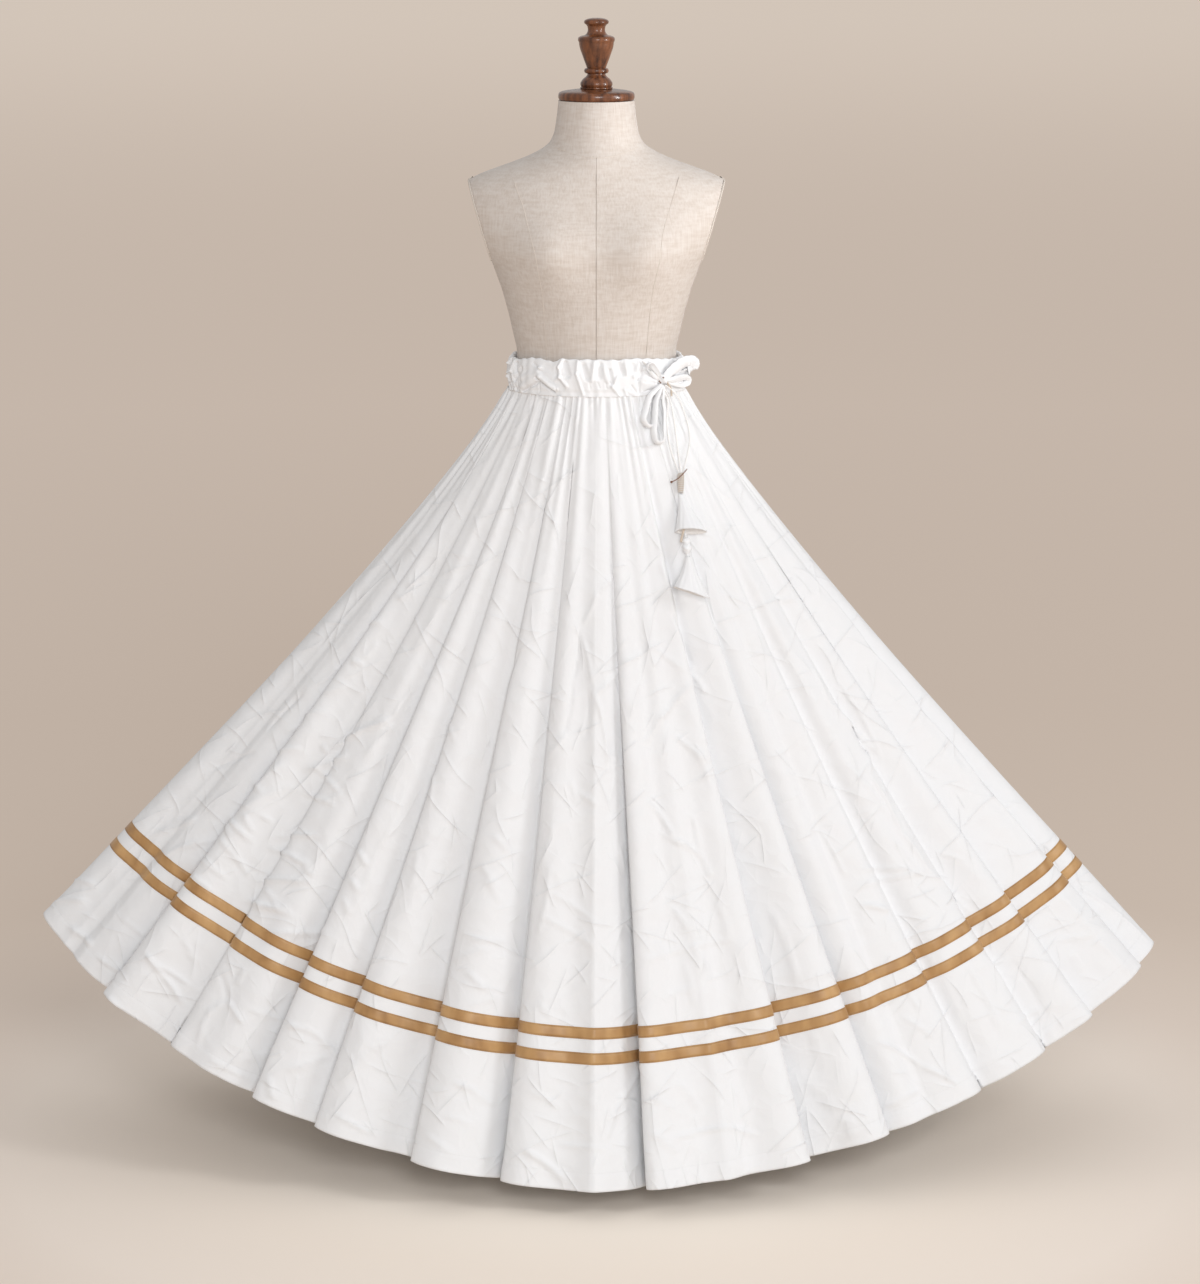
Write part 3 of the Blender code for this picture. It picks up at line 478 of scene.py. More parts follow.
knot_place = over_cloth(KNOT["x"], KNOT["z"], KNOT["lift"])
wrap_top = over_cloth(WRAP["x"], WRAP["top"], WRAP["lift"])
wrap_foot = over_cloth(WRAP["x"], WRAP["foot"], WRAP["lift"])
white_cord = cord_finish("white_cord", (0.90, 0.89, 0.88), (0.84, 0.82, 0.80), 160.0)
cords = []
for name, route in CORD_ROUTES.items():
    aside = Vector((CORD_ENDS[name], 0, 0))
    start = knot_place + aside * CORD_STARTS + Vector((0, 0, -KNOT["radii"][2] - 3 * SEAM))
    end = wrap_top + aside + Vector((0, 0, 3 * SEAM))
    points = smooth_route([start, *(over_cloth(*stop) for stop in route), end], CORD_SPACING)
    curve = bpy.data.curves.new(name + "_cord", "CURVE")
    curve.dimensions = "3D"
    curve.bevel_depth = CORD_RADIUS
    curve.bevel_resolution = 3
    curve.use_fill_caps = True
    spline = curve.splines.new("POLY")
    spline.points.add(len(points) - 1)
    for target, point in zip(spline.points, points):
        target.co = (*point, 1.0)
    curve.materials.append(white_cord)
    cords.append((show(bpy.data.objects.new(name + "_cord", curve), name), points))

# Skirt cloth
# Crisp plain-woven cotton, cut as four gores that are gathered at the waist and hang in overlapping folds.
# It has been packed flat, so short sharp creases run over it every way. The hem is turned up 25 mm inside.
RIBBON_START, RIBBON_WIDE, RIBBON_GAP = 0.7955, 0.0148, 0.0169
RIBBON_LOWER_LEFT, RIBBON_LOWER_RIGHT, RIBBON_LOWER_POWER = 0.020, 0.008, 12
HEM_TURN = 0.0235  # depth of the turned hem, as a share of the cloth's length
HEM_THICK = 0.0014
FRONT_COLUMNS, BACK_COLUMNS = 34, 20  # columns of points across each fold
ROWS_TO_RIBBONS, ROWS_IN_RIBBON, ROWS_TO_HEM, ROWS_IN_HEM = 236, 4, 42, 8
PUCKER_APART, PUCKER_DEEP, PUCKER_FADE = 0.0098, 0.0009, 0.040  # short gathers under the waist seam
LONG_PUCKER_APART, LONG_PUCKER_DEEP, LONG_PUCKER_FADE = 0.0230, 0.0030, 0.20  # and longer ones between them
HEM_WAVE, HEM_WAVES = 0.0016, 47
# Soft flutes within the folds: times round the skirt, how far they stand out
FLUTES = ((23, 0.0042), (41, 0.0028), (71, 0.0015))
# The folds' edges are rounded off by averaging over the turn, most of all near the waist
ROUNDING = ((-2, 0.07), (-1, 0.24), (0, 0.38), (1, 0.24), (2, 0.07))
ROUND_HEM, ROUND_WAIST, ROUND_FADE = 0.0006, 0.0100, 0.55
LAP_SHOWN = 0.78  # how much of the lap is left, so that the grooves stay open
BULGE = 0.0070  # how far each fold swells beside its sharp edge, and sinks towards the next groove
BULGE_SHARE, BULGE_MOST = 0.056, 1.3  # share of the hem of a fold that swells just so, and the most of it
ROUND_BULGE = 0.8  # how much of it a fold without a sharp edge has
BULGE_STARTS = 0.15  # drop at which the folds are fully swollen
GROOVE_DEEP, GROOVE_WIDE, GROOVE_NARROW = 0.0175, 0.0150, 0.0030
GROOVE_FILLED = 0.6  # share of a fold's depth at which a groove is filled by the fold below and stays so
SHARP = 0.3  # lap from which an edge counts as sharp
CALM_EDGE = 1.6  # how steeply a smooth stretch starts
CREASE_SHARP, CREASE_SLIM, CREASE_HIGH = 1.3, 0.52, 1.6  # shape of a crest beside its half width and height
CREASE_BOW = 0.03  # how far a crease bows aside, as a share of its length
CREASE_PAST, CREASE_FADE = 0.10, 0.30  # how far it runs past its ends, and over how much of it it fades
CREASE_REACH_TURN, CREASE_REACH_DROP = 0.04, 0.03  # how far round its box a crease is worked out
HEM_STEP, HEM_DENT, HEM_DENT_WIDE = 0.0005, 0.0006, 0.0012  # the turned hem's thickness and sewn line
# Front grooves that run smooth instead: where along the half hem, how wide, and what is left of the step
CALM = ((0.046, 0.024, 0.1), (0.150, 0.040, 0.5), (0.86, 0.17, 0.30))
BACK_CALM = 0.45  # what is left of each step at the back, which hangs a little looser

# Main creases of the front; the back has the same ones mirrored. Each row: the turn and drop of its start,
# the turn and drop of its end, its half width and its height, both in millimetres; a negative height is a
# trough. The places were read by eye in enlarged pieces of the photo, and a separate program worked out
# where on the cloth they are.
CREASES = (
    (0.1354, 0.546, 0.1967, 0.468, 6, 3.2), (0.1967, 0.468, 0.2040, 0.420, 5, 2),
    (0.1262, 0.588, 0.1633, 0.542, 6, 3), (0.1323, 0.578, 0.1813, 0.590, 5, 2.2),
    (0.1262, 0.548, 0.1354, 0.552, 5, 2), (0.1062, 0.430, 0.1196, 0.424, 5, 2.2),
    (0.0798, 0.388, 0.1093, 0.363, 5, 1.8), (0.1181, 0.390, 0.1147, 0.420, 5, 1.6),
    (0.1124, 0.304, 0.1319, 0.275, 5, 1.6), (0.1108, 0.325, 0.1250, 0.304, 5, 1.6),
    (0.0798, 0.445, 0.0717, 0.487, 5, 1.6), (0.1151, 0.462, 0.1013, 0.487, 5, 1.4),
    (0.0740, 0.563, 0.1154, 0.504, 5, 1.4), (0.0974, 0.590, 0.1135, 0.567, 5, 1.8),
    (0.0802, 0.643, 0.1093, 0.647, 5, 2.2), (0.1013, 0.647, 0.1078, 0.599, 5, 1.6),
    (0.1028, 0.685, 0.1227, 0.615, 6, 2), (0.0790, 0.702, 0.1204, 0.710, 5, 2.6),
    (0.0802, 0.704, 0.1089, 0.720, 5, 2), (0.1062, 0.685, 0.1170, 0.699, 5, 2.2),
    (0.1158, 0.674, 0.1262, 0.672, 5, 1.8), (0.1354, 0.687, 0.1794, 0.653, 5, 2.6),
    (0.1346, 0.704, 0.1856, 0.693, 6, 3), (0.1373, 0.756, 0.1948, 0.710, 7, 3),
    (0.1411, 0.783, 0.1913, 0.762, 6, 2.6), (0.0557, 0.807, 0.0786, 0.748, 6, 2.2),
    (0.0304, 0.804, 0.0564, 0.742, 6, 2), (0.0376, 0.767, 0.0568, 0.737, 5, 1.6),
    (0.1009, 0.731, 0.1334, 0.752, 5, 1.8), (0.1016, 0.796, 0.1166, 0.796, 5, 2),
    (0.0978, 0.771, 0.1212, 0.771, 5, 1.8), (0.1564, 0.752, 0.1764, 0.762, 5, 1.8),
    (0.1737, 0.804, 0.2373, 0.758, 6, 2.4), (0.1334, 0.617, 0.1802, 0.607, 5, 1.8),
    (0.1660, 0.613, 0.1810, 0.590, 5, 1.4), (0.1810, 0.699, 0.1928, 0.704, 5, 2),
    (0.2354, 0.645, 0.2469, 0.659, 5, 2.2), (0.2404, 0.683, 0.2476, 0.695, 5, 2.2),
    (0.2404, 0.710, 0.2473, 0.727, 5, 2), (0.2519, 0.544, 0.2492, 0.636, 4, 1.6),
    (0.2492, 0.636, 0.2461, 0.729, 4, 1.6), (0.1959, 0.386, 0.2316, 0.414, 5, 1.4),
    (0.1867, 0.531, 0.2017, 0.472, 5, 1.4), (0.0319, 0.674, 0.0603, 0.615, 6, -1.8),
    (0.0564, 0.578, 0.0645, 0.508, 7, -2), (0.2871, 0.514, 0.2967, 0.557, 5, 1.4),
    (0.2994, 0.617, 0.3024, 0.662, 5, 1.4), (0.3756, 0.611, 0.3925, 0.638, 5, 1.6),
    (0.2680, 0.432, 0.3055, 0.470, 5, 1.2), (0.4661, 0.298, 0.4592, 0.363, 5, -2),
    (0.4592, 0.363, 0.4527, 0.430, 5, -1.8), (0.4722, 0.306, 0.4910, 0.363, 5, 1.8),
    (0.4849, 0.372, 0.4829, 0.430, 4.5, -1.8), (0.4987, 0.248, 0.4714, 0.290, 5, 1.6),
    (0.5439, 0.216, 0.5025, 0.247, 5, 1.4), (0.5400, 0.342, 0.4941, 0.378, 5, 1.6),
    (0.5749, 0.327, 0.5473, 0.340, 5, 1.2), (0.4941, 0.378, 0.5052, 0.414, 5, 1.8),
    (0.5052, 0.414, 0.5113, 0.466, 5, 1.4), (0.6439, 0.374, 0.5876, 0.416, 5, 2.4),
    (0.5876, 0.416, 0.5657, 0.443, 5, 1.6), (0.6378, 0.218, 0.6401, 0.283, 5, 1.6),
    (0.6401, 0.283, 0.6634, 0.353, 5, -2), (0.6638, 0.365, 0.6753, 0.392, 5, 2.2),
    (0.6654, 0.353, 0.6493, 0.374, 5, 2), (0.5910, 0.317, 0.6393, 0.357, 5, 1.4),
    (0.5646, 0.515, 0.5906, 0.567, 5, 2.6), (0.5906, 0.567, 0.6186, 0.594, 5, 2.4),
    (0.6155, 0.540, 0.6171, 0.590, 5, 2.2), (0.6171, 0.590, 0.6224, 0.622, 5, 2),
    (0.6121, 0.437, 0.6408, 0.477, 5, 1.8), (0.4745, 0.502, 0.4990, 0.517, 5, 1.6),
    (0.4554, 0.428, 0.4347, 0.460, 5, 1.4), (0.3684, 0.327, 0.3446, 0.401, 5, -1.8),
    (0.6320, 0.460, 0.6385, 0.514, 5, 1.6), (0.5734, 0.556, 0.5968, 0.577, 5, 1.4),
    (0.6684, 0.247, 0.6711, 0.269, 5, 1.2), (0.4488, 0.540, 0.4400, 0.594, 5, 1.4),
    (0.3799, 0.569, 0.3956, 0.590, 5, 1.4), (0.5251, 0.569, 0.5286, 0.605, 6, 1.2),
    (0.4638, 0.487, 0.4722, 0.512, 5, 1.2), (0.8528, 0.304, 0.8949, 0.315, 5, 1.8),
    (0.8581, 0.403, 0.8524, 0.454, 6, 1.8), (0.8524, 0.454, 0.8727, 0.529, 6, 2.2),
    (0.8727, 0.529, 0.8520, 0.565, 5, 2.4), (0.8520, 0.565, 0.8501, 0.651, 6, 2.4),
    (0.8501, 0.651, 0.8543, 0.712, 6, 2.2), (0.8543, 0.712, 0.8738, 0.796, 6, 2),
    (0.8857, 0.441, 0.8792, 0.559, 5, 1.6), (0.7895, 0.670, 0.8397, 0.699, 5, 1.8),
    (0.7773, 0.689, 0.8562, 0.714, 5, 1.6), (0.7811, 0.714, 0.7987, 0.733, 5, 2.2),
    (0.7677, 0.605, 0.7730, 0.670, 5, 1.8), (0.9562, 0.302, 0.9566, 0.433, 5, 1.8),
    (0.9566, 0.433, 0.9574, 0.542, 5, 2), (0.9574, 0.542, 0.9562, 0.672, 5, 2.2),
    (0.9562, 0.672, 0.9547, 0.798, 5, 2.4), (0.8635, 0.485, 0.8788, 0.548, 5, 1.6),
    (0.8317, 0.536, 0.8474, 0.626, 5, 1.4), (0.8374, 0.653, 0.8455, 0.718, 5, 1.4),
    (0.8409, 0.380, 0.8508, 0.414, 5, 1.4), (0.9501, 0.617, 0.9493, 0.632, 5, 1.2),
    (0.8781, 0.702, 0.8930, 0.731, 5, 1.2), (0.0054, 0.981, 0.0269, 0.935, 6, 2.2),
    (0.0304, 0.979, 0.0568, 0.969, 8, 3), (0.0648, 0.975, 0.1016, 0.969, 6, 2.4),
    (0.0028, 0.937, 0.0242, 0.910, 6, 2), (0.1074, 0.918, 0.1181, 0.929, 5, 3),
    (0.1181, 0.929, 0.1407, 0.948, 5, 2.6), (0.1131, 0.922, 0.1377, 0.920, 5, 1.8),
    (0.1722, 0.981, 0.1668, 0.922, 5, 1.6), (0.1760, 0.905, 0.1940, 0.922, 5, 2.6),
    (0.1764, 0.880, 0.1771, 0.857, 5, 1.8), (0.1584, 0.781, 0.1863, 0.756, 6, 2.2),
    (0.2377, 0.893, 0.2530, 0.887, 5, 2.2), (0.2530, 0.887, 0.2706, 0.907, 5, 2.4),
    (0.2484, 0.947, 0.2680, 0.907, 5, 2.4), (0.2404, 0.966, 0.2465, 0.990, 5, 2.6),
    (0.2994, 0.920, 0.3155, 0.865, 5, 1.8), (0.3001, 0.973, 0.3224, 0.985, 5, 2),
    (0.1921, 0.901, 0.2319, 0.895, 5, 1.4), (0.1852, 0.985, 0.2109, 0.985, 5, 1.6),
    (0.1679, 0.937, 0.1745, 0.910, 5, 2), (0.0614, 0.910, 0.0817, 0.910, 5, 1.4),
    (0.1181, 0.872, 0.1304, 0.891, 5, 1.4), (0.1971, 0.977, 0.2339, 0.928, 5, 1.4),
    (0.1047, 0.998, 0.1124, 1.000, 7, 2), (0.3090, 0.878, 0.3132, 0.857, 5, 1.6),
    (0.1595, 0.880, 0.1768, 0.907, 6, -1.6), (0.4485, 0.601, 0.4423, 0.687, 4.5, 2),
    (0.3779, 0.706, 0.4029, 0.701, 5, 2), (0.3710, 0.735, 0.3937, 0.710, 5, 1.4),
    (0.3802, 0.746, 0.3933, 0.767, 5, 2.2), (0.3852, 0.790, 0.4032, 0.771, 5, 1.4),
    (0.3841, 0.887, 0.3971, 0.895, 5, 2.4), (0.3971, 0.895, 0.4071, 0.908, 5, 2.2),
    (0.4416, 0.660, 0.4960, 0.695, 5, 1.4), (0.4500, 0.630, 0.4979, 0.664, 5, 1.4),
    (0.5527, 0.714, 0.5864, 0.706, 5, 1.4), (0.5864, 0.706, 0.6316, 0.704, 5, 1.4),
    (0.5592, 0.689, 0.5669, 0.727, 5, 1.8), (0.5761, 0.649, 0.5914, 0.683, 5, 2),
    (0.5937, 0.704, 0.6083, 0.762, 5, 1.8), (0.6247, 0.653, 0.6282, 0.704, 5, 1.8),
    (0.5098, 0.905, 0.5427, 0.845, 4.5, 1.8), (0.5044, 0.935, 0.5159, 0.891, 5, 1.4),
    (0.4465, 0.954, 0.4753, 0.989, 6, 3), (0.4692, 0.945, 0.5059, 0.947, 5, 1.4),
    (0.5496, 0.928, 0.5623, 0.958, 6, 2), (0.5607, 0.939, 0.6006, 0.935, 5, 2),
    (0.6006, 0.935, 0.6217, 0.954, 5, 2), (0.3810, 0.626, 0.3952, 0.655, 5, 1.8),
    (0.5657, 0.868, 0.5803, 0.912, 6, 1.8), (0.5634, 0.763, 0.5883, 0.756, 5, 1.4),
    (0.4477, 0.769, 0.4592, 0.790, 5, 1.2), (0.5830, 0.722, 0.5860, 0.779, 5, 1.6),
    (0.5519, 0.887, 0.5619, 0.901, 5, 1.4), (0.3833, 0.931, 0.3971, 0.935, 5, 1.2),
    (0.4465, 0.880, 0.4695, 0.899, 5, 1.2), (0.6132, 0.891, 0.6171, 0.937, 6, 1.6),
    (0.3741, 0.960, 0.3914, 0.979, 6, 1.6), (0.6841, 0.681, 0.6861, 0.792, 5, 2),
    (0.7424, 0.884, 0.7704, 0.937, 5, 2.2), (0.7704, 0.937, 0.7891, 0.979, 5, 2.2),
    (0.7317, 0.968, 0.7604, 0.964, 5, 1.6), (0.8413, 0.847, 0.8390, 0.941, 5, 2.2),
    (0.8597, 0.849, 0.8616, 0.899, 5, 1.6), (0.7753, 0.712, 0.7968, 0.735, 5, 1.8),
    (0.9470, 0.851, 0.9466, 0.926, 6, 2.2), (0.9466, 0.926, 0.9489, 0.996, 6, 2.2),
    (0.9754, 0.863, 0.9888, 0.987, 5, 1.8), (0.8815, 0.884, 0.8777, 0.979, 6, -1.8),
    (0.9229, 0.893, 0.9451, 0.918, 5, 1.6), (0.8194, 0.847, 0.8164, 0.910, 5, 1.4),
    (0.6864, 0.838, 0.6887, 0.895, 5, 1.4), (0.6780, 0.910, 0.6876, 0.950, 5, 1.4),
    (0.7704, 0.866, 0.7868, 0.910, 5, 1.4), (0.9279, 0.918, 0.9256, 0.947, 6, 1.6),
    (0.8781, 0.947, 0.8761, 0.998, 6, 1.8), (0.8156, 0.798, 0.8167, 0.840, 5, 1.2),
    (0.7822, 0.838, 0.7845, 0.866, 5, 1.6), (0.8512, 0.948, 0.8838, 0.954, 5, 1.2),
    (0.6922, 0.960, 0.6930, 0.989, 6, 1.6),
)


def shown_folds(turn, drop):
    """The folded cloth as it shows, with its edges rounded off and its grooves open."""
    soft = ROUND_HEM + (ROUND_WAIST - ROUND_HEM) * np.clip(1 - drop / ROUND_FADE, 0, 1) ** 1.4
    out = lap = 0.0
    for step, weight in ROUNDING:
        near_out, near_lap, _ = folds_at(turn + step * soft)
        out, lap = out + weight * near_out, lap + weight * near_lap
    share, side = share_of(turn)
    calm = np.where(side < 0, 1.0, BACK_CALM)
    for middle, wide, left_over in CALM:
        inside = np.clip(CALM_EDGE * (1 - np.abs(share - middle) / wide), 0, 1)
        calm = np.where(side < 0, np.minimum(calm, 1 - (1 - left_over) * inside), calm)
    swell = np.zeros_like(turn)
    for folds, face in ((FRONT_FOLDS, -1), (BACK_FOLDS, 1)):
        edges = fold_edges(folds)
        fold = np.clip(np.searchsorted(edges, share, side="right") - 1, 0, len(folds) - 1)
        phase = (share - edges[fold]) / np.diff(edges)[fold]
        lefts, rights = (np.array(values) for values in list(zip(*folds))[3:])
        lean = (lefts - rights)[fold]
        arch = np.sin(math.pi * phase)
        shape = lean * np.sin(2 * math.pi * phase) * arch ** 0.6
        shape += (1 - np.abs(lean)) * ROUND_BULGE * (arch ** 2 - 0.4) * arch ** 0.3
        wide = np.diff(edges)[fold] / BULGE_SHARE
        swell += np.where(side == face, BULGE * np.minimum(wide, BULGE_MOST) * shape, 0)
        for number in range(1, len(folds)):
            _, depth, groove, left, _ = folds[number]
            if groove > GROOVE_FILLED * depth:
                continue
            ahead = GROOVE_NARROW if left > SHARP else GROOVE_WIDE
            behind = GROOVE_NARROW if folds[number - 1][4] > SHARP else GROOVE_WIDE
            off = share - edges[number]
            pit = np.exp(-(off / np.where(off > 0, ahead, behind)) ** 2)
            swell -= np.where(side == face, GROOVE_DEEP * pit, 0)
    along, outward = directions(smooth_skirt, turn, np.ones_like(turn))
    outward_top = directions(smooth_skirt, turn, np.zeros_like(turn) + 0.01)[1]
    phase = folds_at(turn)[2]
    uneven = 0.5 + 0.5 * np.sin(19 * turn + 1)
    gather = GATHER * np.cos(4 * math.pi * phase + 2.2 * np.sin(31 * turn)) * uneven
    gather = gather * np.clip(1 - drop / GATHER_FADE, 0, 1) ** 2
    grown = signed_power(drop, FOLD_GROWTH)
    return (
        smooth_skirt(turn, drop)
        + outward * ((out + swell * calm * np.minimum(drop / BULGE_STARTS, 1)) * grown)[..., None]
        + along * (LAP_SHOWN * calm * lap * grown)[..., None]
        + outward_top * gather[..., None]
    )


def crease_relief(share, drop, crease):
    """A ridge that is sharp along its middle and runs out softly at both ends."""
    turn, start_drop, to_turn, to_drop, wide, rise = crease
    middle = (start_drop + to_drop) / 2
    across_scale = HALF_HEM * (0.10 + 0.90 * middle)
    ahead = np.array([(to_turn - turn) * across_scale, (to_drop - start_drop) * LENGTH_FRONT])
    long = max(float(np.linalg.norm(ahead)), 0.001)
    ahead = ahead / long
    right, down = (share - turn) * across_scale, (drop - start_drop) * LENGTH_FRONT
    along = (right * ahead[0] + down * ahead[1]) / long
    off = (down * ahead[0] - right * ahead[1]) + CREASE_BOW * long * np.sin(math.pi * along)
    ends = np.clip(np.minimum(along + CREASE_PAST, 1 + CREASE_PAST - along) / CREASE_FADE, 0, 1)
    crest = np.exp(-(np.abs(off) / (wide / 1000 * CREASE_SLIM)) ** CREASE_SHARP)
    return CREASE_HIGH * rise / 1000 * crest * ends * ends * (3 - 2 * ends)


def cloth_relief(turn, drop):
    """How far the flutes, short gathers, hem and creases lift the cloth off its folds."""
    share, side = share_of(turn)
    angle = np.interp(share, PLAN_SHARE, PLAN_ANGLES)
    relief = np.zeros_like(turn)
    for number, (count, height) in enumerate(FLUTES):
        wander = 1.3 * np.sin(2.6 * drop + 4 * turn + number) + 0.9 * np.sin(9 * math.pi * turn + 2 * number)
        uneven = 0.55 + 0.45 * np.sin((5 + 2 * number) * math.pi * turn + 1.1 * number + 3 * drop)
        fluted = np.sin(count * math.pi * turn + 1.7 * number + wander)
        relief += height * uneven * fluted * (0.15 + 0.85 * drop)
    around = waist_angle(share, angle, hem_plan(angle)[0]) * WAIST_HALF_WIDE / PUCKER_APART
    fade = PUCKER_FADE * (1 + 0.7 * np.sin(2.3 * around + side) * np.sin(0.71 * around))
    pucker = np.cos(2 * math.pi * (around + 0.22 * np.sin(1.9 * around)))
    relief += PUCKER_DEEP * pucker * np.clip(1 - drop / fade, 0, 1) ** 1.5
    around = around * PUCKER_APART / LONG_PUCKER_APART
    fade = LONG_PUCKER_FADE * (1 + 0.6 * np.sin(1.3 * around + 2 * side))
    pucker = np.cos(2 * math.pi * (around + 0.30 * np.sin(1.7 * around + side)))
    pucker = pucker * (0.6 + 0.4 * np.sin(2.9 * around))
    relief += LONG_PUCKER_DEEP * pucker * np.clip(1 - drop / fade, 0, 1) ** 2 * np.clip(drop / 0.012, 0.25, 1)
    in_hem = np.clip((drop - (1 - 2.2 * HEM_TURN)) / (2.2 * HEM_TURN), 0, 1)
    relief += HEM_WAVE * in_hem * np.sin(HEM_WAVES * math.pi * turn + 2.1 * np.sin(11 * math.pi * turn))
    relief += HEM_STEP * (drop > 1 - HEM_TURN - 0.0008)
    relief -= HEM_DENT * np.exp(-((drop - 1 + HEM_TURN) / HEM_DENT_WIDE) ** 2)
    for crease in CREASES:
        low, high = sorted((crease[0], crease[2]))
        top, foot = sorted((crease[1], crease[3]))
        near = (share > low - CREASE_REACH_TURN) & (share < high + CREASE_REACH_TURN)
        near &= (drop > top - CREASE_REACH_DROP) & (drop < foot + CREASE_REACH_DROP)
        relief[near] += crease_relief(share[near], drop[near], crease)
    return relief


def fold_columns(folds, first, last, count):
    """Shares of the half hem at which the cloth has points, closer together at each sharp edge."""
    edges = fold_edges(folds)
    shares = []
    for number in range(first, last):
        left, right = folds[number][3:]
        place = np.arange(count) / count
        place = place ** (1 + 0.9 * left) if left >= right else 1 - (1 - place) ** (1 + 0.9 * right)
        shares.append(edges[number] + (edges[number + 1] - edges[number]) * place)
    return np.concatenate([*shares, [edges[last]]])


def cloth_drops(turn):
    """Drops of every row of points at these turns, so that rows run along the ribbons and the hem."""
    share, _ = share_of(turn)
    angle = np.interp(share, PLAN_SHARE, PLAN_ANGLES)
    lower = np.where(angle < 0, RIBBON_LOWER_LEFT, RIBBON_LOWER_RIGHT)
    start = RIBBON_START + lower * np.sin(angle) ** RIBBON_LOWER_POWER
    stops = [0 * start, start]
    for wide in (RIBBON_WIDE, RIBBON_GAP, RIBBON_WIDE):
        stops.append(stops[-1] + wide)
    stops += [0 * start + 1 - HEM_TURN, 0 * start + 1]
    counts = (ROWS_TO_RIBBONS, ROWS_IN_RIBBON, ROWS_IN_RIBBON, ROWS_IN_RIBBON, ROWS_TO_HEM, ROWS_IN_HEM)
    rows = []
    for above, below, count in zip(stops, stops[1:], counts):
        rows += [above + (below - above) * step / count for step in range(count)]
    return np.array([*rows, stops[-1]])


def grid_normals(points):
    """The way out of a closed ring of cloth at each of its points."""
    down = np.gradient(points, axis=0)
    ahead = np.roll(points, -1, axis=1) - np.roll(points, 1, axis=1)
    normals = np.cross(down, ahead)
    return normals / np.maximum(np.linalg.norm(normals, axis=-1, keepdims=True), 1e-12)


def sheet_object(name, points, finish, ring=False, places=None, inside=None, inside_rows=None):
    """A cloth surface from a grid of points, with its place on the cloth in metres as its texture map."""
    rows, columns = points.shape[:2]
    steps = columns if ring else columns - 1
    row, column = np.meshgrid(np.arange(rows - 1), np.arange(steps), indexing="ij")
    corners = [(row, column), (row + 1, column), (row + 1, column + 1), (row, column + 1)]
    faces = np.stack([r * columns + c % columns for r, c in corners], axis=-1).reshape(-1, 4)
    mesh = bpy.data.meshes.new(name)
    mesh.from_pydata(points.reshape(-1, 3).tolist(), [], faces.tolist())
    if places is None:
        across = np.linalg.norm(np.diff(points, axis=1, append=points[:, :1]), axis=-1).mean(axis=0)
        along = np.linalg.norm(np.diff(points, axis=0), axis=-1).mean(axis=1)
        ticks = np.concatenate([[0], np.cumsum(across)]), np.concatenate([[0], np.cumsum(along)])
        places = np.stack(np.meshgrid(ticks[0], ticks[1]), axis=-1)
    texture = np.stack([places[r, c] for r, c in corners], axis=-2).reshape(-1, 2)
    layer = mesh.uv_layers.new(name="cloth")
    layer.data.foreach_set("uv", texture.astype(np.float32).ravel())
    mesh.materials.append(finish)
    if inside is not None:
        mesh.materials.append(inside)
        slots = np.repeat((np.arange(rows - 1) >= inside_rows).astype(np.int32), steps)
        mesh.polygons.foreach_set("material_index", slots)
    mesh.shade_smooth()
    return bpy.data.objects.new(name, mesh)


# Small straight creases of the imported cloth, all over: how far they lean, in degrees, and how far apart
# they run
CREASE_RUNS = ((10, 0.050), (-16, 0.062), (38, 0.045), (-44, 0.052), (72, 0.070), (-68, 0.064))
CREASE_BUMP, WEAVE_BUMP = 0.0014, 0.00003


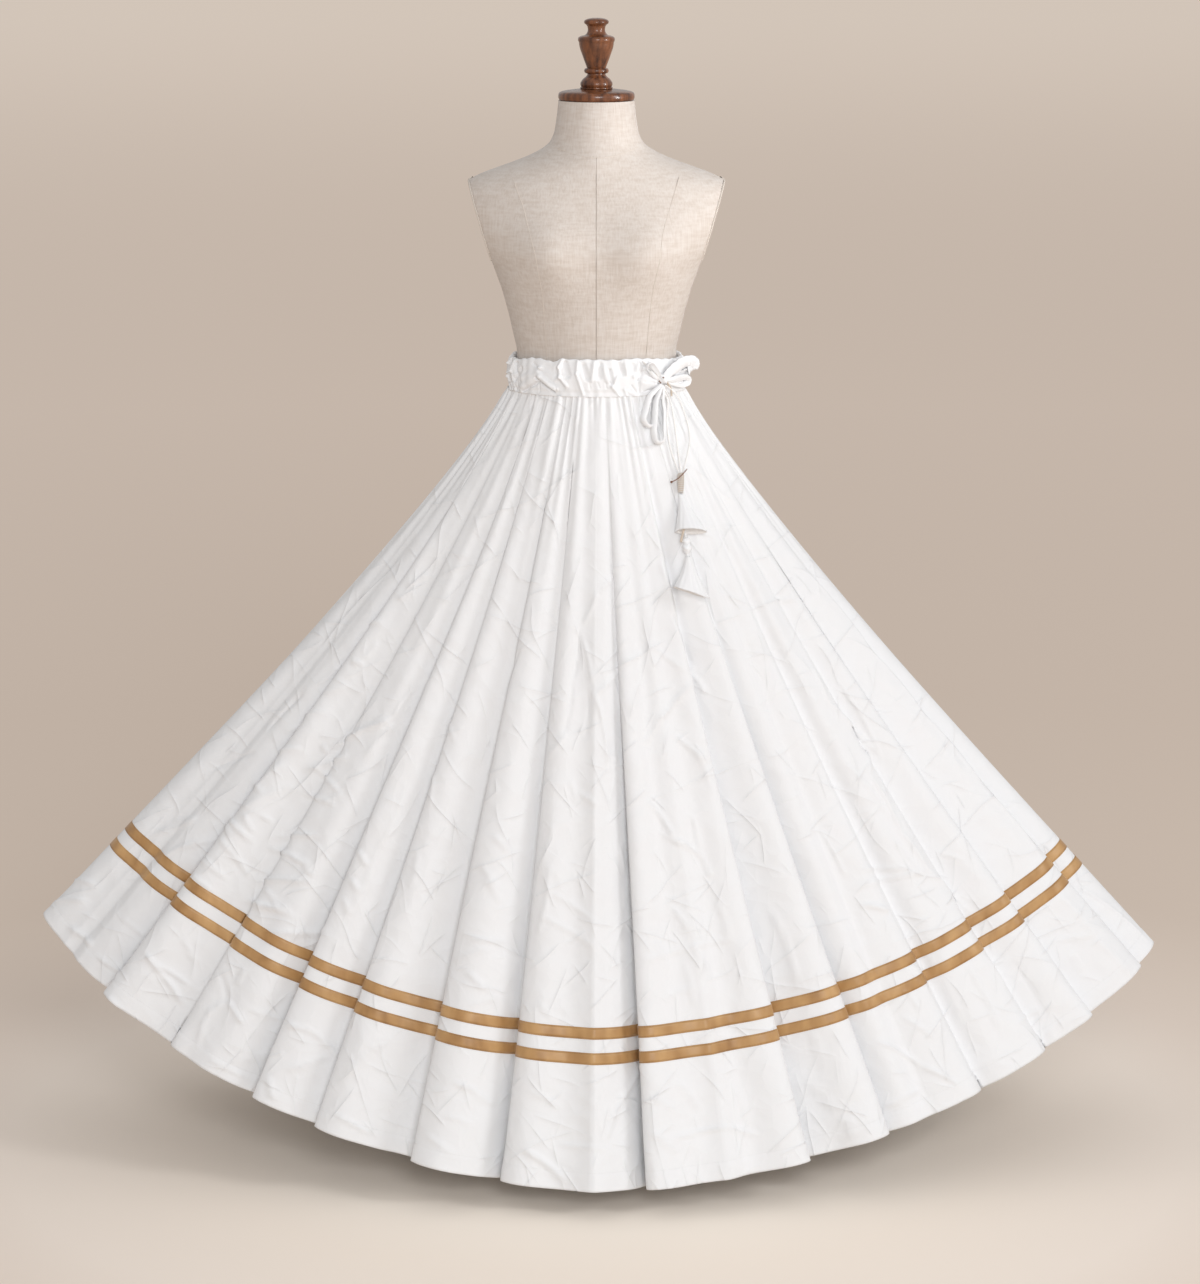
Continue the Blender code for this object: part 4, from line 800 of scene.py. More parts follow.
def cotton_finish(name, crumple):
    """Plain white cotton: a fine weave, small packed-in creases that stop and start, and a matt face."""
    finish, shader = new_finish(name, (0.800, 0.804, 0.812), 0.75, Sheen_Weight=0.08, Sheen_Roughness=0.5)
    shader.inputs["Specular IOR Level"].default_value = 0.25
    source = add_node(finish, "ShaderNodeTexCoord")
    place = source.outputs["Object"]
    warp = add_node(finish, "ShaderNodeTexNoise", Vector=place, Scale=7.0, Detail=1.0)
    shift = add_node(finish, "ShaderNodeVectorMath", {"operation": "MULTIPLY_ADD"},
                     _0=warp.outputs["Color"], _1=(0.06, 0.06, 0.06), _2=place).outputs[0]
    patches = []
    for start in (0.0, 5.3):
        moved = add_node(finish, "ShaderNodeMapping", Vector=place, Location=(start, 0, 2 * start)).outputs[0]
        clouds = add_node(finish, "ShaderNodeTexNoise", Vector=moved, Scale=15.0, Detail=1.0)
        patches += add_node(finish, "ShaderNodeSeparateColor", Color=clouds.outputs["Color"]).outputs[:3]
    relief = add_math(finish, "MULTIPLY", warp.outputs["Fac"], 2.0)
    for patch, (lean, apart) in zip(patches, CREASE_RUNS):
        leaning = (0.3, math.radians(lean), 0)
        turned = add_node(finish, "ShaderNodeMapping", Vector=shift, Rotation=leaning).outputs[0]
        scale = 0.314 / apart
        wave = add_node(finish, "ShaderNodeTexWave", {"wave_profile": "TRI"}, Vector=turned, Scale=scale)
        line = add_math(finish, "POWER", wave.outputs["Fac"], 11.0)
        line = add_math(finish, "MULTIPLY", line, add_range(finish, patch, 0.53, 0.62, 0.0, 0.8))
        relief = add_math(finish, "ADD", relief, line)
    for scale, height in ((17.0, 2.0), (43.0, 0.8)):
        facets = add_node(finish, "ShaderNodeTexVoronoi", Vector=shift, Scale=scale).outputs["Distance"]
        relief = add_math(finish, "ADD", relief, add_math(finish, "MULTIPLY", facets, height))
    creased = add_bump(finish, relief, CREASE_BUMP * crumple)
    flat = source.outputs["UV"]
    thread = [add_node(finish, "ShaderNodeTexWave", {"bands_direction": way}, Vector=flat, Scale=320.0)
              for way in ("X", "Y")]
    woven = add_math(finish, "ADD", thread[0].outputs["Fac"], thread[1].outputs["Fac"])
    return join_finish(finish, shader, normal=add_bump(finish, woven, WEAVE_BUMP, creased))


white_cotton = cotton_finish("white_cotton", 1.0)
gore_shares = {
    "skirt_front_left": fold_columns(FRONT_FOLDS, 0, SEAM_FOLD, FRONT_COLUMNS),
    "skirt_front_right": fold_columns(FRONT_FOLDS, SEAM_FOLD, len(FRONT_FOLDS), FRONT_COLUMNS),
    "skirt_back_right": 2 - fold_columns(BACK_FOLDS, SEAM_FOLD, len(BACK_FOLDS), BACK_COLUMNS)[::-1],
    "skirt_back_left": 2 - fold_columns(BACK_FOLDS, 0, SEAM_FOLD, BACK_COLUMNS)[::-1],
}
turns = np.concatenate([shares[:-1] for shares in gore_shares.values()])
drops = cloth_drops(turns)
turn_grid = np.repeat(turns[None, :], len(drops), axis=0)
folded = shown_folds(turn_grid, drops)
cloth = folded + grid_normals(folded) * cloth_relief(turn_grid, drops)[..., None]
outward = grid_normals(cloth)
turned_up = slice(-1, -ROWS_IN_HEM - 2, -1)
whole = np.concatenate([cloth, cloth[turned_up] - outward[turned_up] * HEM_THICK])
cloth_places = np.stack([turn_grid * HALF_HEM, drops * LENGTH_FRONT], axis=-1)
whole_places = np.concatenate([cloth_places, cloth_places[turned_up]])

gores = []
first = 0
for name, shares in gore_shares.items():
    columns = np.arange(first, first + len(shares)) % len(turns)
    places = whole_places[:, columns].copy()
    places[:, -1, 0] = shares[-1] * HALF_HEM
    gores.append(show(sheet_object(name + "_cloth", whole[:, columns], white_cotton, places=places), name))
    first += len(shares) - 1

# Hem, ribbons and sewing
# Two gold satin ribbons, 16 mm wide and 18 mm apart, lie flat round the skirt and are stitched along both
# edges. White thread holds the hem 25 mm up, and beige thread shows in the waist seam and along the gores.
RIBBON_ROWS = (0.0001, 0.0006, 0.0008, 0.0006, 0.0001)  # how far the ribbon stands out, edge to edge
RIBBON_METRES = RIBBON_WIDE * LENGTH_FRONT
STITCH_LONG, STITCH_GAP, STITCH_THICK = 0.0020, 0.0009, 0.00018
GORE_STITCH_LONG, GORE_STITCH_GAP = 0.0026, 0.0012
GORE_STITCH_TOP, GORE_STITCH_BESIDE = 6, 2  # row of the first, and columns from the seam
STITCH_RAISED = 0.0001
STITCH_FACES = ((0, 2, 1), (0, 3, 2), (4, 1, 2), (4, 2, 3), (0, 1, 5), (0, 5, 3), (4, 5, 1), (4, 3, 5))

satin, satin_shader = new_finish("gold_satin", (0.53, 0.265, 0.085), 0.42, Sheen_Weight=0.1)
satin_shader.inputs["Specular IOR Level"].default_value = 0.45
satin_map = add_node(satin, "ShaderNodeTexCoord")
across_ribbon = add_node(satin, "ShaderNodeSeparateXYZ", Vector=satin_map.outputs["UV"]).outputs["Y"]
from_middle = add_math(satin, "ABSOLUTE", add_math(satin, "SUBTRACT", across_ribbon, RIBBON_METRES / 2), 0.0)
stitch_line = add_range(satin, add_math(satin, "ABSOLUTE", add_math(
    satin, "SUBTRACT", from_middle, 0.41 * RIBBON_METRES), 0.0), 0.0003, 0.0009, 1.0, 0.0)
stitch_run = add_node(satin, "ShaderNodeTexWave", Vector=satin_map.outputs["UV"], Scale=110.0).outputs["Fac"]
stitched = add_math(satin, "MULTIPLY", stitch_line, add_math(satin, "ADD", stitch_run, 0.35))
# The satin's colour follows its crease bump, darker where the creases sink and lighter where they rise: painted light
# and shade. The edge stitch lines are darkened as well.
satin_light = add_noise(satin, satin_map.outputs["Object"], (1, 1, 0.4), 40.0, 2.0)
satin_shade = add_math(satin, "SUBTRACT", satin_light, add_math(satin, "MULTIPLY", stitched, 0.10))
satin_crease_shade_and_stitches = add_ramp(satin, satin_shade, (0.05, (0.22, 0.105, 0.035)), (0.40, (0.41, 0.225, 0.085)),
                      (0.72, (0.55, 0.33, 0.140)))
satin_creased = add_bump(satin, satin_light, 0.0008)
satin_stitched = add_bump(satin, add_math(satin, "SUBTRACT", 1.0, stitched), 0.00012, satin_creased)
join_finish(satin, satin_shader, satin_crease_shade_and_stitches, satin_stitched)

ring_metres = np.append(cloth_places[0, :, 0], 2 * HALF_HEM)
ribbons = []
ribbon_tops = {"ribbon_upper": ROWS_TO_RIBBONS, "ribbon_lower": ROWS_TO_RIBBONS + 2 * ROWS_IN_RIBBON}
for name, top_row in ribbon_tops.items():
    rows = np.arange(top_row, top_row + ROWS_IN_RIBBON + 1)
    lifts = [RIBBON_ROWS[0], *np.interp(np.linspace(0, 1, ROWS_IN_RIBBON + 1),
                                        np.linspace(0, 1, 3), RIBBON_ROWS[1:4]), RIBBON_ROWS[-1]]
    rows = np.array([rows[0], *rows, rows[-1]])
    strip = cloth[rows] + outward[rows] * np.array(lifts)[:, None, None]
    across = np.array([0, *np.linspace(0, 1, ROWS_IN_RIBBON + 1), 1]) * RIBBON_METRES
    places = np.stack(np.broadcast_arrays(ring_metres[None, :], across[:, None]), axis=-1)
    ribbon = sheet_object(name + "_satin", strip, satin, ring=True, places=places)
    ribbons.append(show(ribbon, name, slot="satin"))


def stitch_row(path, outs, long, gap, thick):
    """Corners and faces of small separate stitches along a path, each a flat diamond bar."""
    ahead = np.diff(path, axis=0)
    along = np.concatenate([[0], np.cumsum(np.linalg.norm(ahead, axis=1))])
    starts = np.arange(gap, along[-1] - long, long + gap)

    def at(values, places):
        return np.stack([np.interp(places, along, values[:, axis]) for axis in range(3)], axis=1)

    first, last = at(path, starts), at(path, starts + long)
    out = at(outs, starts + long / 2)
    middle = (first + last) / 2
    side = np.cross(last - first, out)
    side = side / np.maximum(np.linalg.norm(side, axis=1, keepdims=True), 1e-9) * thick
    lift = out * thick
    top, under = middle + lift * 1.6, middle - lift * 0.5
    corners = np.stack([first, middle + side, top, middle - side, last, under], axis=1)
    faces = np.array(STITCH_FACES)[None] + 6 * np.arange(len(starts))[:, None, None]
    return corners.reshape(-1, 3), faces.reshape(-1, 3)


def stitches_object(name, runs, finish):
    points, faces, count = [], [], 0
    for run_points, run_faces in runs:
        points.append(run_points)
        faces.append(run_faces + count)
        count += len(run_points)
    mesh = bpy.data.meshes.new(name)
    mesh.from_pydata(np.concatenate(points).tolist(), [], np.concatenate(faces).tolist())
    mesh.materials.append(finish)
    mesh.shade_smooth()
    return show(bpy.data.objects.new(name, mesh), slot="thread")


white_thread = new_finish("white_thread", (0.70, 0.68, 0.65), 0.6)[0]
beige_thread = new_finish("beige_thread", (0.68, 0.58, 0.48), 0.7)[0]
hem_row = -ROWS_IN_HEM - 1
hem_path = np.concatenate([cloth[hem_row], cloth[hem_row, :1]])
hem_out = np.concatenate([outward[hem_row], outward[hem_row, :1]])
hem_path = hem_path + STITCH_RAISED * hem_out
stitches_object("hem_stitches", [stitch_row(hem_path, hem_out, STITCH_LONG, STITCH_GAP, STITCH_THICK)],
                white_thread)
gore_runs = []
sewn_rows = slice(GORE_STITCH_TOP, hem_row)
first = 0
for shares in gore_shares.values():
    first += len(shares) - 1
    for beside in (GORE_STITCH_BESIDE, -GORE_STITCH_BESIDE):
        column = (first + beside) % len(turns)
        out = outward[sewn_rows, column]
        gore_runs.append(stitch_row(cloth[sewn_rows, column] + STITCH_RAISED * out, out,
                                    GORE_STITCH_LONG, GORE_STITCH_GAP, STITCH_THICK))
stitches_object("gore_stitches", gore_runs, white_thread)

# Waistband
# The top of the skirt is turned down over a drawstring and gathered by hand, so its casing is all rolls,
# hollows and small leaves of cotton, with a flat strip at the foot where it is sewn to the gores.
BAND_TALL, BAND_FOOT = 0.050, WAIST_HEIGHT + 3 * SEAM
BAND_COLUMNS, BAND_ROWS = 760, 48
BAND_OVERLAP = 0.0014  # how far it comes down over the seam
BAND_REACH = 0.119  # from the form's axis to the band, for distances along it
BAND_STAND = ((0.0, 0.0121), (0.12, 0.0112), (0.20, 0.0124), (0.50, 0.0128), (0.80, 0.0110), (1.0, 0.0080))
BAND_TOP = ((-180, 0.96), (-150, 0.90), (-128, 0.97), (-110, 0.93), (-90, 0.88), (-67, 0.86), (-48, 0.97),
            (-38, 0.95), (-31, 0.89), (-24, 1.0), (-16, 0.98), (-5, 0.99), (5, 0.98), (15, 0.97), (26, 1.0),
            (38, 0.97), (60, 0.90), (85, 0.88), (105, 0.92), (130, 0.98), (155, 0.93), (180, 0.96))
BAND_INSIDE = ((0.0005, 0.0060), (-0.0010, 0.0042), (-0.0040, 0.0034), (-0.0080, 0.0030))  # (height, stand)
# Each fold runs between two places, as (angle, share of the height), in degrees from the front and towards
# the right; wide: half width and out: height, both in millimetres, and a hollow where it is negative
BAND_FOLDS = (
    (-67.3, 0.38, -58.8, 0.70, 4.5, -3.0), (-58.2, 0.13, -41.1, 0.57, 7.0, 3.5),
    (-56.3, 0.06, -41.2, 0.35, 2.2, -3.5), (-40.4, 0.35, -40.5, 0.10, 1.6, -2.0),
    (-56.9, 0.43, -40.2, 0.73, 5.0, 2.0), (-71.4, 0.28, -65.6, 0.04, 3.0, -1.5),
    (-40.7, 0.76, -39.3, 0.78, 2.5, 3.0), (-38.9, 0.68, -46.8, 0.87, 2.0, -1.5),
    (-38.5, 0.52, -28.0, 0.22, 5.5, 4.5), (-43.0, 0.48, -28.8, 0.12, 1.8, -4.0),
    (-26.8, 0.30, -27.2, 0.14, 1.2, -1.5), (-25.7, 0.40, -22.8, 0.23, 4.0, -2.5),
    (-35.1, 0.82, -27.2, 0.66, 6.0, -1.5), (-23.5, 0.96, -25.7, 0.81, 3.2, 2.8),
    (-25.7, 0.81, -24.6, 0.52, 3.2, 2.8), (-24.6, 0.52, -19.9, 0.30, 3.2, 2.8),
    (-27.6, 0.81, -28.0, 0.57, 4.0, -2.0), (-21.3, 0.88, -19.1, 0.59, 5.0, -3.5),
    (-12.5, 0.95, -13.2, 0.63, 3.0, 2.6), (-13.2, 0.63, -8.8, 0.08, 2.6, 2.2),
    (-8.8, 0.83, -6.1, 0.52, 5.0, -3.5), (-1.7, 0.92, -3.1, 0.46, 3.2, 2.4),
    (2.3, 0.84, 1.3, 0.55, 5.0, -3.0), (4.6, 0.81, 7.3, 0.46, 4.0, 2.0),
    (8.7, 0.72, 10.4, 0.37, 3.0, -3.0), (10.1, 0.28, 13.8, 0.57, 2.0, 2.4),
    (15.5, 0.86, 17.6, 0.64, 4.5, -3.0), (19.4, 0.91, 20.1, 0.62, 3.0, 2.4),
    (24.5, 0.84, 25.6, 0.65, 4.5, -3.0), (29.4, 0.89, 24.9, 0.55, 3.0, 2.0),
    (10.1, 0.28, 15.6, 0.01, 2.2, 2.0), (18.4, 0.21, 20.1, 0.04, 2.0, 1.6),
    (20.5, 0.15, 25.6, 0.05, 2.5, 1.6), (23.4, 0.29, 27.9, 0.05, 1.5, -1.6),
    (0.6, 0.40, 2.0, 0.26, 1.5, -0.9), (6.0, 0.40, 6.7, 0.25, 1.5, -0.9),
    (-4.7, 0.37, -4.1, 0.23, 1.5, -0.9), (33.4, 0.39, 41.0, 0.34, 9.0, 4.0),
    (32.1, 0.67, 28.6, 0.43, 2.0, -2.6), (28.6, 0.43, 29.4, 0.07, 2.0, -2.6),
    (32.6, 0.10, 45.7, 0.22, 1.5, -1.6), (32.2, 0.40, 45.7, 0.32, 1.5, -1.2),
    (36.6, 0.68, 46.2, 0.35, 1.6, -2.2), (32.9, 0.79, 36.6, 0.89, 1.6, -1.8),
    (41.9, 0.80, 43.8, 0.59, 4.0, -2.0),
)
HIDDEN_TURNS = (58, 92, 128, 180)  # degrees by which the small folds are repeated round the sides and back
SMALL_FOLD, MIDDLE_REACH = 5.2, 29  # the ones repeated: slimmer than this, and nearer the front than this
FRONT_REACH, FRONT_FADE = 60, 8  # degrees either way for which the photo gives the folds, and their fading
FOLD_SPREAD = 1.25  # how far a fold reaches to each side, in its half widths
RUFFLE = 0.0004
BAND_LEAST, BAND_EDGE = 0.0035, 0.0045  # the least the band stands out, and where its lower edge starts
WAIST_STITCH_LONG, WAIST_STITCH_GAP, WAIST_STITCH_THICK, WAIST_STITCH_OUT = 0.0026, 0.0010, 0.00022, 0.0009


def band_relief(angles, shares):
    """How far the rolls and hollows lift the band, for angles in degrees and shares of its height."""
    relief = np.zeros(angles.shape)
    copies = [(fold, 0.0) for fold in BAND_FOLDS]
    for turned in HIDDEN_TURNS:
        for fold in BAND_FOLDS:
            if fold[4] < SMALL_FOLD and abs(fold[0]) < MIDDLE_REACH:
                copies.append((fold, float(turned)))
                if turned != 180:
                    copies.append((fold, -float(turned)))
    for (angle, share, to_angle, to_share, wide, out), turned in copies:
        start = np.array([angle * math.pi / 180 * BAND_REACH, share * BAND_TALL])
        ahead = np.array([to_angle * math.pi / 180 * BAND_REACH, to_share * BAND_TALL]) - start
        right = ((angles - turned + 180) % 360 - 180) * math.pi / 180 * BAND_REACH - start[0]
        up = shares * BAND_TALL - start[1]
        place = np.clip((right * ahead[0] + up * ahead[1]) / max(float(ahead @ ahead), 1e-9), 0, 1)
        off = np.hypot(right - place * ahead[0], up - place * ahead[1]) / (FOLD_SPREAD * wide / 1000)
        seen = 1.0 if turned == 0 else np.clip((np.abs(angles) - FRONT_REACH) / FRONT_FADE, 0, 1)
        relief += seen * out / 1000 * np.clip(1 - off ** 2, 0, 1) ** 1.7
    return relief


band_angles = np.linspace(-180, 180, BAND_COLUMNS, endpoint=False)
band_shares = np.linspace(0, 1, BAND_ROWS)
angle_grid, share_grid = np.meshgrid(band_angles, band_shares)
turned = np.radians(angle_grid)
ruffle = np.sin(turned * 30 + 1.5 * np.sin(turned * 7) + 2 * share_grid)
ruffle += 0.6 * np.sin(turned * 53 + 3 * share_grid + 2 * np.sin(turned * 5))
stand = np.interp(share_grid, *zip(*BAND_STAND)) + band_relief(angle_grid, share_grid) + RUFFLE * ruffle
stand = np.maximum(stand, BAND_LEAST)
tall = np.interp(angle_grid, *zip(*BAND_TOP)) + 0.012 * np.sin(turned * 41)
band_heights = BAND_FOOT - BAND_OVERLAP + share_grid * (tall * BAND_TALL + BAND_OVERLAP)
for height, inward in BAND_INSIDE:
    band_heights = np.concatenate([band_heights, band_heights[BAND_ROWS - 1:BAND_ROWS] + height])
    stand = np.concatenate([stand, inward + 0 * stand[:1] + 0.0005 * ruffle[:1]])
band_heights = np.concatenate([band_heights[:1] + 0.0002, band_heights])
stand = np.concatenate([0 * stand[:1] + BAND_EDGE, stand])
around = np.radians(np.broadcast_to(band_angles, stand.shape))
ellipse_out = np.stack([np.sin(around) / FORM_HALF_WIDE, -np.cos(around) / FORM_HALF_DEEP], axis=-1)
ellipse_out = ellipse_out / np.linalg.norm(ellipse_out, axis=-1, keepdims=True)
band_points = np.stack([
    FORM_HALF_WIDE * np.sin(around) + stand * ellipse_out[..., 0],
    -FORM_HALF_DEEP * np.cos(around) + stand * ellipse_out[..., 1],
    band_heights,
], axis=-1)
band_cotton = cotton_finish("band_cotton", 0.10)
band = show(sheet_object("waistband_cloth", band_points, band_cotton, ring=True), "waistband")
seam_ring = np.concatenate([band_points[1], band_points[1, :1]])
seam_out = np.concatenate([ellipse_out[1], ellipse_out[1, :1]])
seam_out = np.concatenate([seam_out, 0 * seam_out[:, :1]], axis=1)
waist_run = stitch_row(seam_ring + WAIST_STITCH_OUT * seam_out, seam_out, WAIST_STITCH_LONG, WAIST_STITCH_GAP,
                       WAIST_STITCH_THICK)
waist_stitches = stitches_object("waist_stitches", [waist_run], beige_thread)

# Bow and tassel
# A narrow tape of the same cotton is tied in a loose bow over the casing, with a lumpy knot, two small loops
# to the right and two long ones below. The drawstrings end in a tassel of two cloth bells, one below the
# other, whose head is wound with tan and white thread. A brown bead and thread pin it.
TAPE_SIDES = 14
TAPE_SPACING = 0.0022
TAPE_HALF_THICK = 0.0011
TAPE_CUPPED, TAPE_CRUMPLED = 0.11, 0.00028
KNOT_ROWS, KNOT_SIDES = 34, 48
STRING_RADIUS, TAIL_RADIUS, STRING_SPACING = 0.0006, 0.0013, 0.002
# Each tape's stops: x, z, distance from the cloth, width, and which way its width lies (out, right, up)
TAPES = {
    "bow_loop_hanging_left": (
        (0.0885, 1.0950, 0.009, 0.0060, 0.6, 0.8, 0.2), (0.0800, 1.0870, 0.012, 0.0075, 0.6, 0.7, -0.5),
        (0.0730, 1.0797, 0.013, 0.0085, 0.6, 0.7, -0.4), (0.0675, 1.0633, 0.015, 0.0095, 0.7, 0.7, -0.2),
        (0.0640, 1.0509, 0.016, 0.0095, 0.7, 0.7, 0.0), (0.0685, 1.0418, 0.015, 0.0095, 0.9, 0.2, 0.5),
        (0.0759, 1.0394, 0.013, 0.0095, 0.9, 0.0, 0.6), (0.0814, 1.0453, 0.012, 0.0090, 0.8, -0.5, 0.3),
        (0.0832, 1.0589, 0.011, 0.0085, 0.7, -0.7, 0.0), (0.0842, 1.0744, 0.011, 0.0075, 0.7, -0.7, 0.0),
        (0.0890, 1.0920, 0.009, 0.0060, 0.7, -0.7, 0.0),
    ),
    "bow_loop_hanging_right": (
        (0.0905, 1.0940, 0.010, 0.0060, 0.5, 0.8, 0.0), (0.0845, 1.0810, 0.014, 0.0075, 0.6, 0.8, 0.0),
        (0.0812, 1.0707, 0.015, 0.0085, 0.6, 0.8, 0.0), (0.0799, 1.0523, 0.017, 0.0095, 0.6, 0.8, 0.0),
        (0.0786, 1.0340, 0.018, 0.0095, 0.7, 0.7, 0.0), (0.0810, 1.0207, 0.018, 0.0095, 0.9, 0.3, 0.3),
        (0.0876, 1.0165, 0.017, 0.0095, 0.9, 0.0, 0.6), (0.0930, 1.0209, 0.015, 0.0095, 0.8, -0.5, 0.3),
        (0.0945, 1.0328, 0.014, 0.0095, 0.7, -0.7, 0.0), (0.0945, 1.0575, 0.012, 0.0085, 0.7, -0.7, 0.0),
        (0.0925, 1.0704, 0.011, 0.0080, 0.7, -0.7, 0.0), (0.0935, 1.0920, 0.009, 0.0060, 0.7, -0.7, 0.0),
    ),
    "bow_loop_upper_right": (
        (0.0930, 1.1020, 0.008, 0.0090, 0.1, -0.3, 1.0), (0.1037, 1.1110, 0.011, 0.0160, 0.2, -0.3, 1.0),
        (0.1168, 1.1165, 0.012, 0.0220, 0.3, -0.1, 1.0), (0.1270, 1.1185, 0.012, 0.0210, 0.5, 0.0, 0.9),
        (0.1345, 1.1170, 0.010, 0.0180, 0.9, 0.0, 0.5), (0.1330, 1.1090, 0.008, 0.0160, 0.9, 0.0, 0.6),
        (0.1252, 1.1050, 0.006, 0.0140, 0.5, 0.1, 0.9), (0.1119, 1.1030, 0.005, 0.0110, 0.2, 0.0, 1.0),
        (0.0960, 1.1010, 0.006, 0.0070, 0.1, 0.0, 1.0),
    ),
    "bow_loop_lower_right": (
        (0.0950, 1.0990, 0.009, 0.0065, 0.3, 0.0, 1.0), (0.1086, 1.0985, 0.012, 0.0110, 0.3, 0.1, 1.0),
        (0.1194, 1.0975, 0.012, 0.0130, 0.5, 0.1, 0.9), (0.1262, 1.0950, 0.011, 0.0120, 0.9, 0.2, 0.4),
        (0.1258, 1.0905, 0.009, 0.0110, 0.9, 0.0, -0.5), (0.1187, 1.0885, 0.008, 0.0100, 0.7, 0.0, -0.8),
        (0.1087, 1.0925, 0.007, 0.0085, 0.3, 0.0, -1.0), (0.0960, 1.0975, 0.007, 0.0065, 0.1, 0.0, -1.0),
    ),
    "bow_loop_upper_left": (
        (0.0890, 1.1030, 0.007, 0.0050, 0.3, 0.8, 0.6), (0.0830, 1.1130, 0.007, 0.0075, 0.3, 0.8, 0.5),
        (0.0765, 1.1230, 0.006, 0.0080, 0.5, 0.8, 0.3), (0.0705, 1.1235, 0.006, 0.0075, 0.9, 0.1, 0.6),
        (0.0700, 1.1170, 0.006, 0.0070, 0.7, -0.7, 0.3), (0.0780, 1.1080, 0.006, 0.0065, 0.4, -0.6, 0.7),
        (0.0880, 1.1000, 0.006, 0.0050, 0.3, -0.6, 0.7),
    ),
}


def over_waist(x, z, lift):
    """As over_cloth, but easing from the band to the cloth where the one ends above the other."""
    share = min(max((z - WAIST_HEIGHT + 0.012) / 0.024, 0.0), 1.0)
    share = share * share * (3 - 2 * share)
    above = over_cloth(x, max(z, WAIST_HEIGHT + 0.0002), lift)
    below = over_cloth(x, min(z, WAIST_HEIGHT), lift)
    return Vector((x, below.y + (above.y - below.y) * share, z))


def tape_points(stops, salt):
    """Rings of points of a flat tube of cotton that runs through the stops."""
    middles = [over_waist(*stop[:3]) for stop in stops]
    route = np.array(smooth_route(middles, TAPE_SPACING))
    along = np.concatenate([[0], np.cumsum(np.linalg.norm(np.diff(route, axis=0), axis=1))])
    marks = [0.0]
    for here, there in zip(middles, middles[1:]):
        marks.append(marks[-1] + (there - here).length)
    marks = np.array(marks) / marks[-1] * along[-1]
    extra = np.array([stop[3:] for stop in stops])
    wide, out, right, up = (np.interp(along, marks, extra[:, column]) for column in range(4))
    away = route * [1, 1, 0]
    away = away / np.linalg.norm(away, axis=1, keepdims=True)
    way = out[:, None] * away + right[:, None] * [1, 0, 0] + up[:, None] * [0, 0, 1]
    ahead = np.gradient(route, axis=0)
    ahead = ahead / np.linalg.norm(ahead, axis=1, keepdims=True)
    way = way - (way * ahead).sum(axis=1, keepdims=True) * ahead
    way = way / np.linalg.norm(way, axis=1, keepdims=True)
    normal = np.cross(ahead, way)
    turn = np.arange(TAPE_SIDES) * 2 * math.pi / TAPE_SIDES
    across = signed_power(np.cos(turn), 0.8)
    crumple = np.sin(along[:, None] * 780 + 3 * across + salt) * 0.35
    crumple = crumple + np.sin(along[:, None] * 410 - 4 * across) * 0.45
    cupped = TAPE_CUPPED * wide[:, None] + 0.0004
    lift = TAPE_HALF_THICK * np.sin(turn) - cupped * (across ** 2 - 0.4) + TAPE_CRUMPLED * crumple
    span = across * wide[:, None] / 2 * (1 + 0.05 * np.sin(along[:, None] * 420 + salt))
    return route[:, None] + span[..., None] * way[:, None] + lift[..., None] * normal[:, None]


def tube_object(name, rings, finish):
    """A tube from rings of points, closed at both ends."""
    rows, sides = rings.shape[:2]
    mesh = bpy.data.meshes.new(name)
    row, side = np.meshgrid(np.arange(rows - 1), np.arange(sides), indexing="ij")
    here, below, beside = row * sides, (row + 1) * sides, (side + 1) % sides
    faces = np.stack([here + side, here + beside, below + beside, below + side], axis=-1).reshape(-1, 4)
    caps = [list(range(sides)), [(rows - 1) * sides + step for step in range(sides)][::-1]]
    mesh.from_pydata(rings.reshape(-1, 3).tolist(), [], faces.tolist() + caps)
    mesh.materials.append(finish)
    mesh.shade_smooth()
    return bpy.data.objects.new(name, mesh)


def round_tube(route, radius, sides=10):
    """Rings round a route; the radius is a number or one for each point."""
    route = np.asarray([tuple(point) for point in route])
    ahead = np.gradient(route, axis=0)
    ahead = ahead / np.linalg.norm(ahead, axis=1, keepdims=True)
    first = np.cross(ahead, [0.03, 1.0, 0.02])
    first = first / np.linalg.norm(first, axis=1, keepdims=True)
    second = np.cross(ahead, first)
    turn = (np.arange(sides) * 2 * math.pi / sides)[None, :, None]
    radius = np.broadcast_to(radius, len(route))[:, None, None]
    return route[:, None] + radius * (np.cos(turn) * first[:, None] + np.sin(turn) * second[:, None])


tape_cotton = cotton_finish("tape_cotton", 0.12)
for salt, (name, stops) in enumerate(TAPES.items()):
    replaced = [name] if name in bpy.data.objects else []
    show(tube_object(name + "_tape", tape_points(stops, 2.1 * salt), tape_cotton), *replaced)

rings = []
for row in np.linspace(0.03, 0.97, KNOT_ROWS):
    ring = []
    for turn in np.arange(KNOT_SIDES) * 2 * math.pi / KNOT_SIDES:
        way = Vector((math.sin(math.pi * row) * math.sin(turn), -math.sin(math.pi * row) * math.cos(turn),
                      math.cos(math.pi * row)))
        wrap = abs(math.sin(4.4 * (0.75 * way.x - way.z) + 0.5)) ** 0.5 - 0.6
        lump = 0.10 * math.sin(5 * way.x + 3 * way.z) + 0.05 * math.sin(9 * way.z - 6 * way.x + 1)
        size = 1 + 0.16 * wrap + lump
        ring.append(knot_place + Vector([radius * value * size for radius, value in zip(KNOT["radii"], way)]))
    rings.append(ring)
show(tube_object("bow_knot_cloth", np.array(rings), tape_cotton), "bow_knot")

brown = new_finish("brown_thread", (0.16, 0.055, 0.022), 0.5)[0]
tan_thread = cord_finish("tan_thread", (0.76, 0.66, 0.56), (0.62, 0.50, 0.38), 500.0)
pale_thread = cord_finish("pale_thread", (0.84, 0.82, 0.80), (0.76, 0.72, 0.67), 500.0)
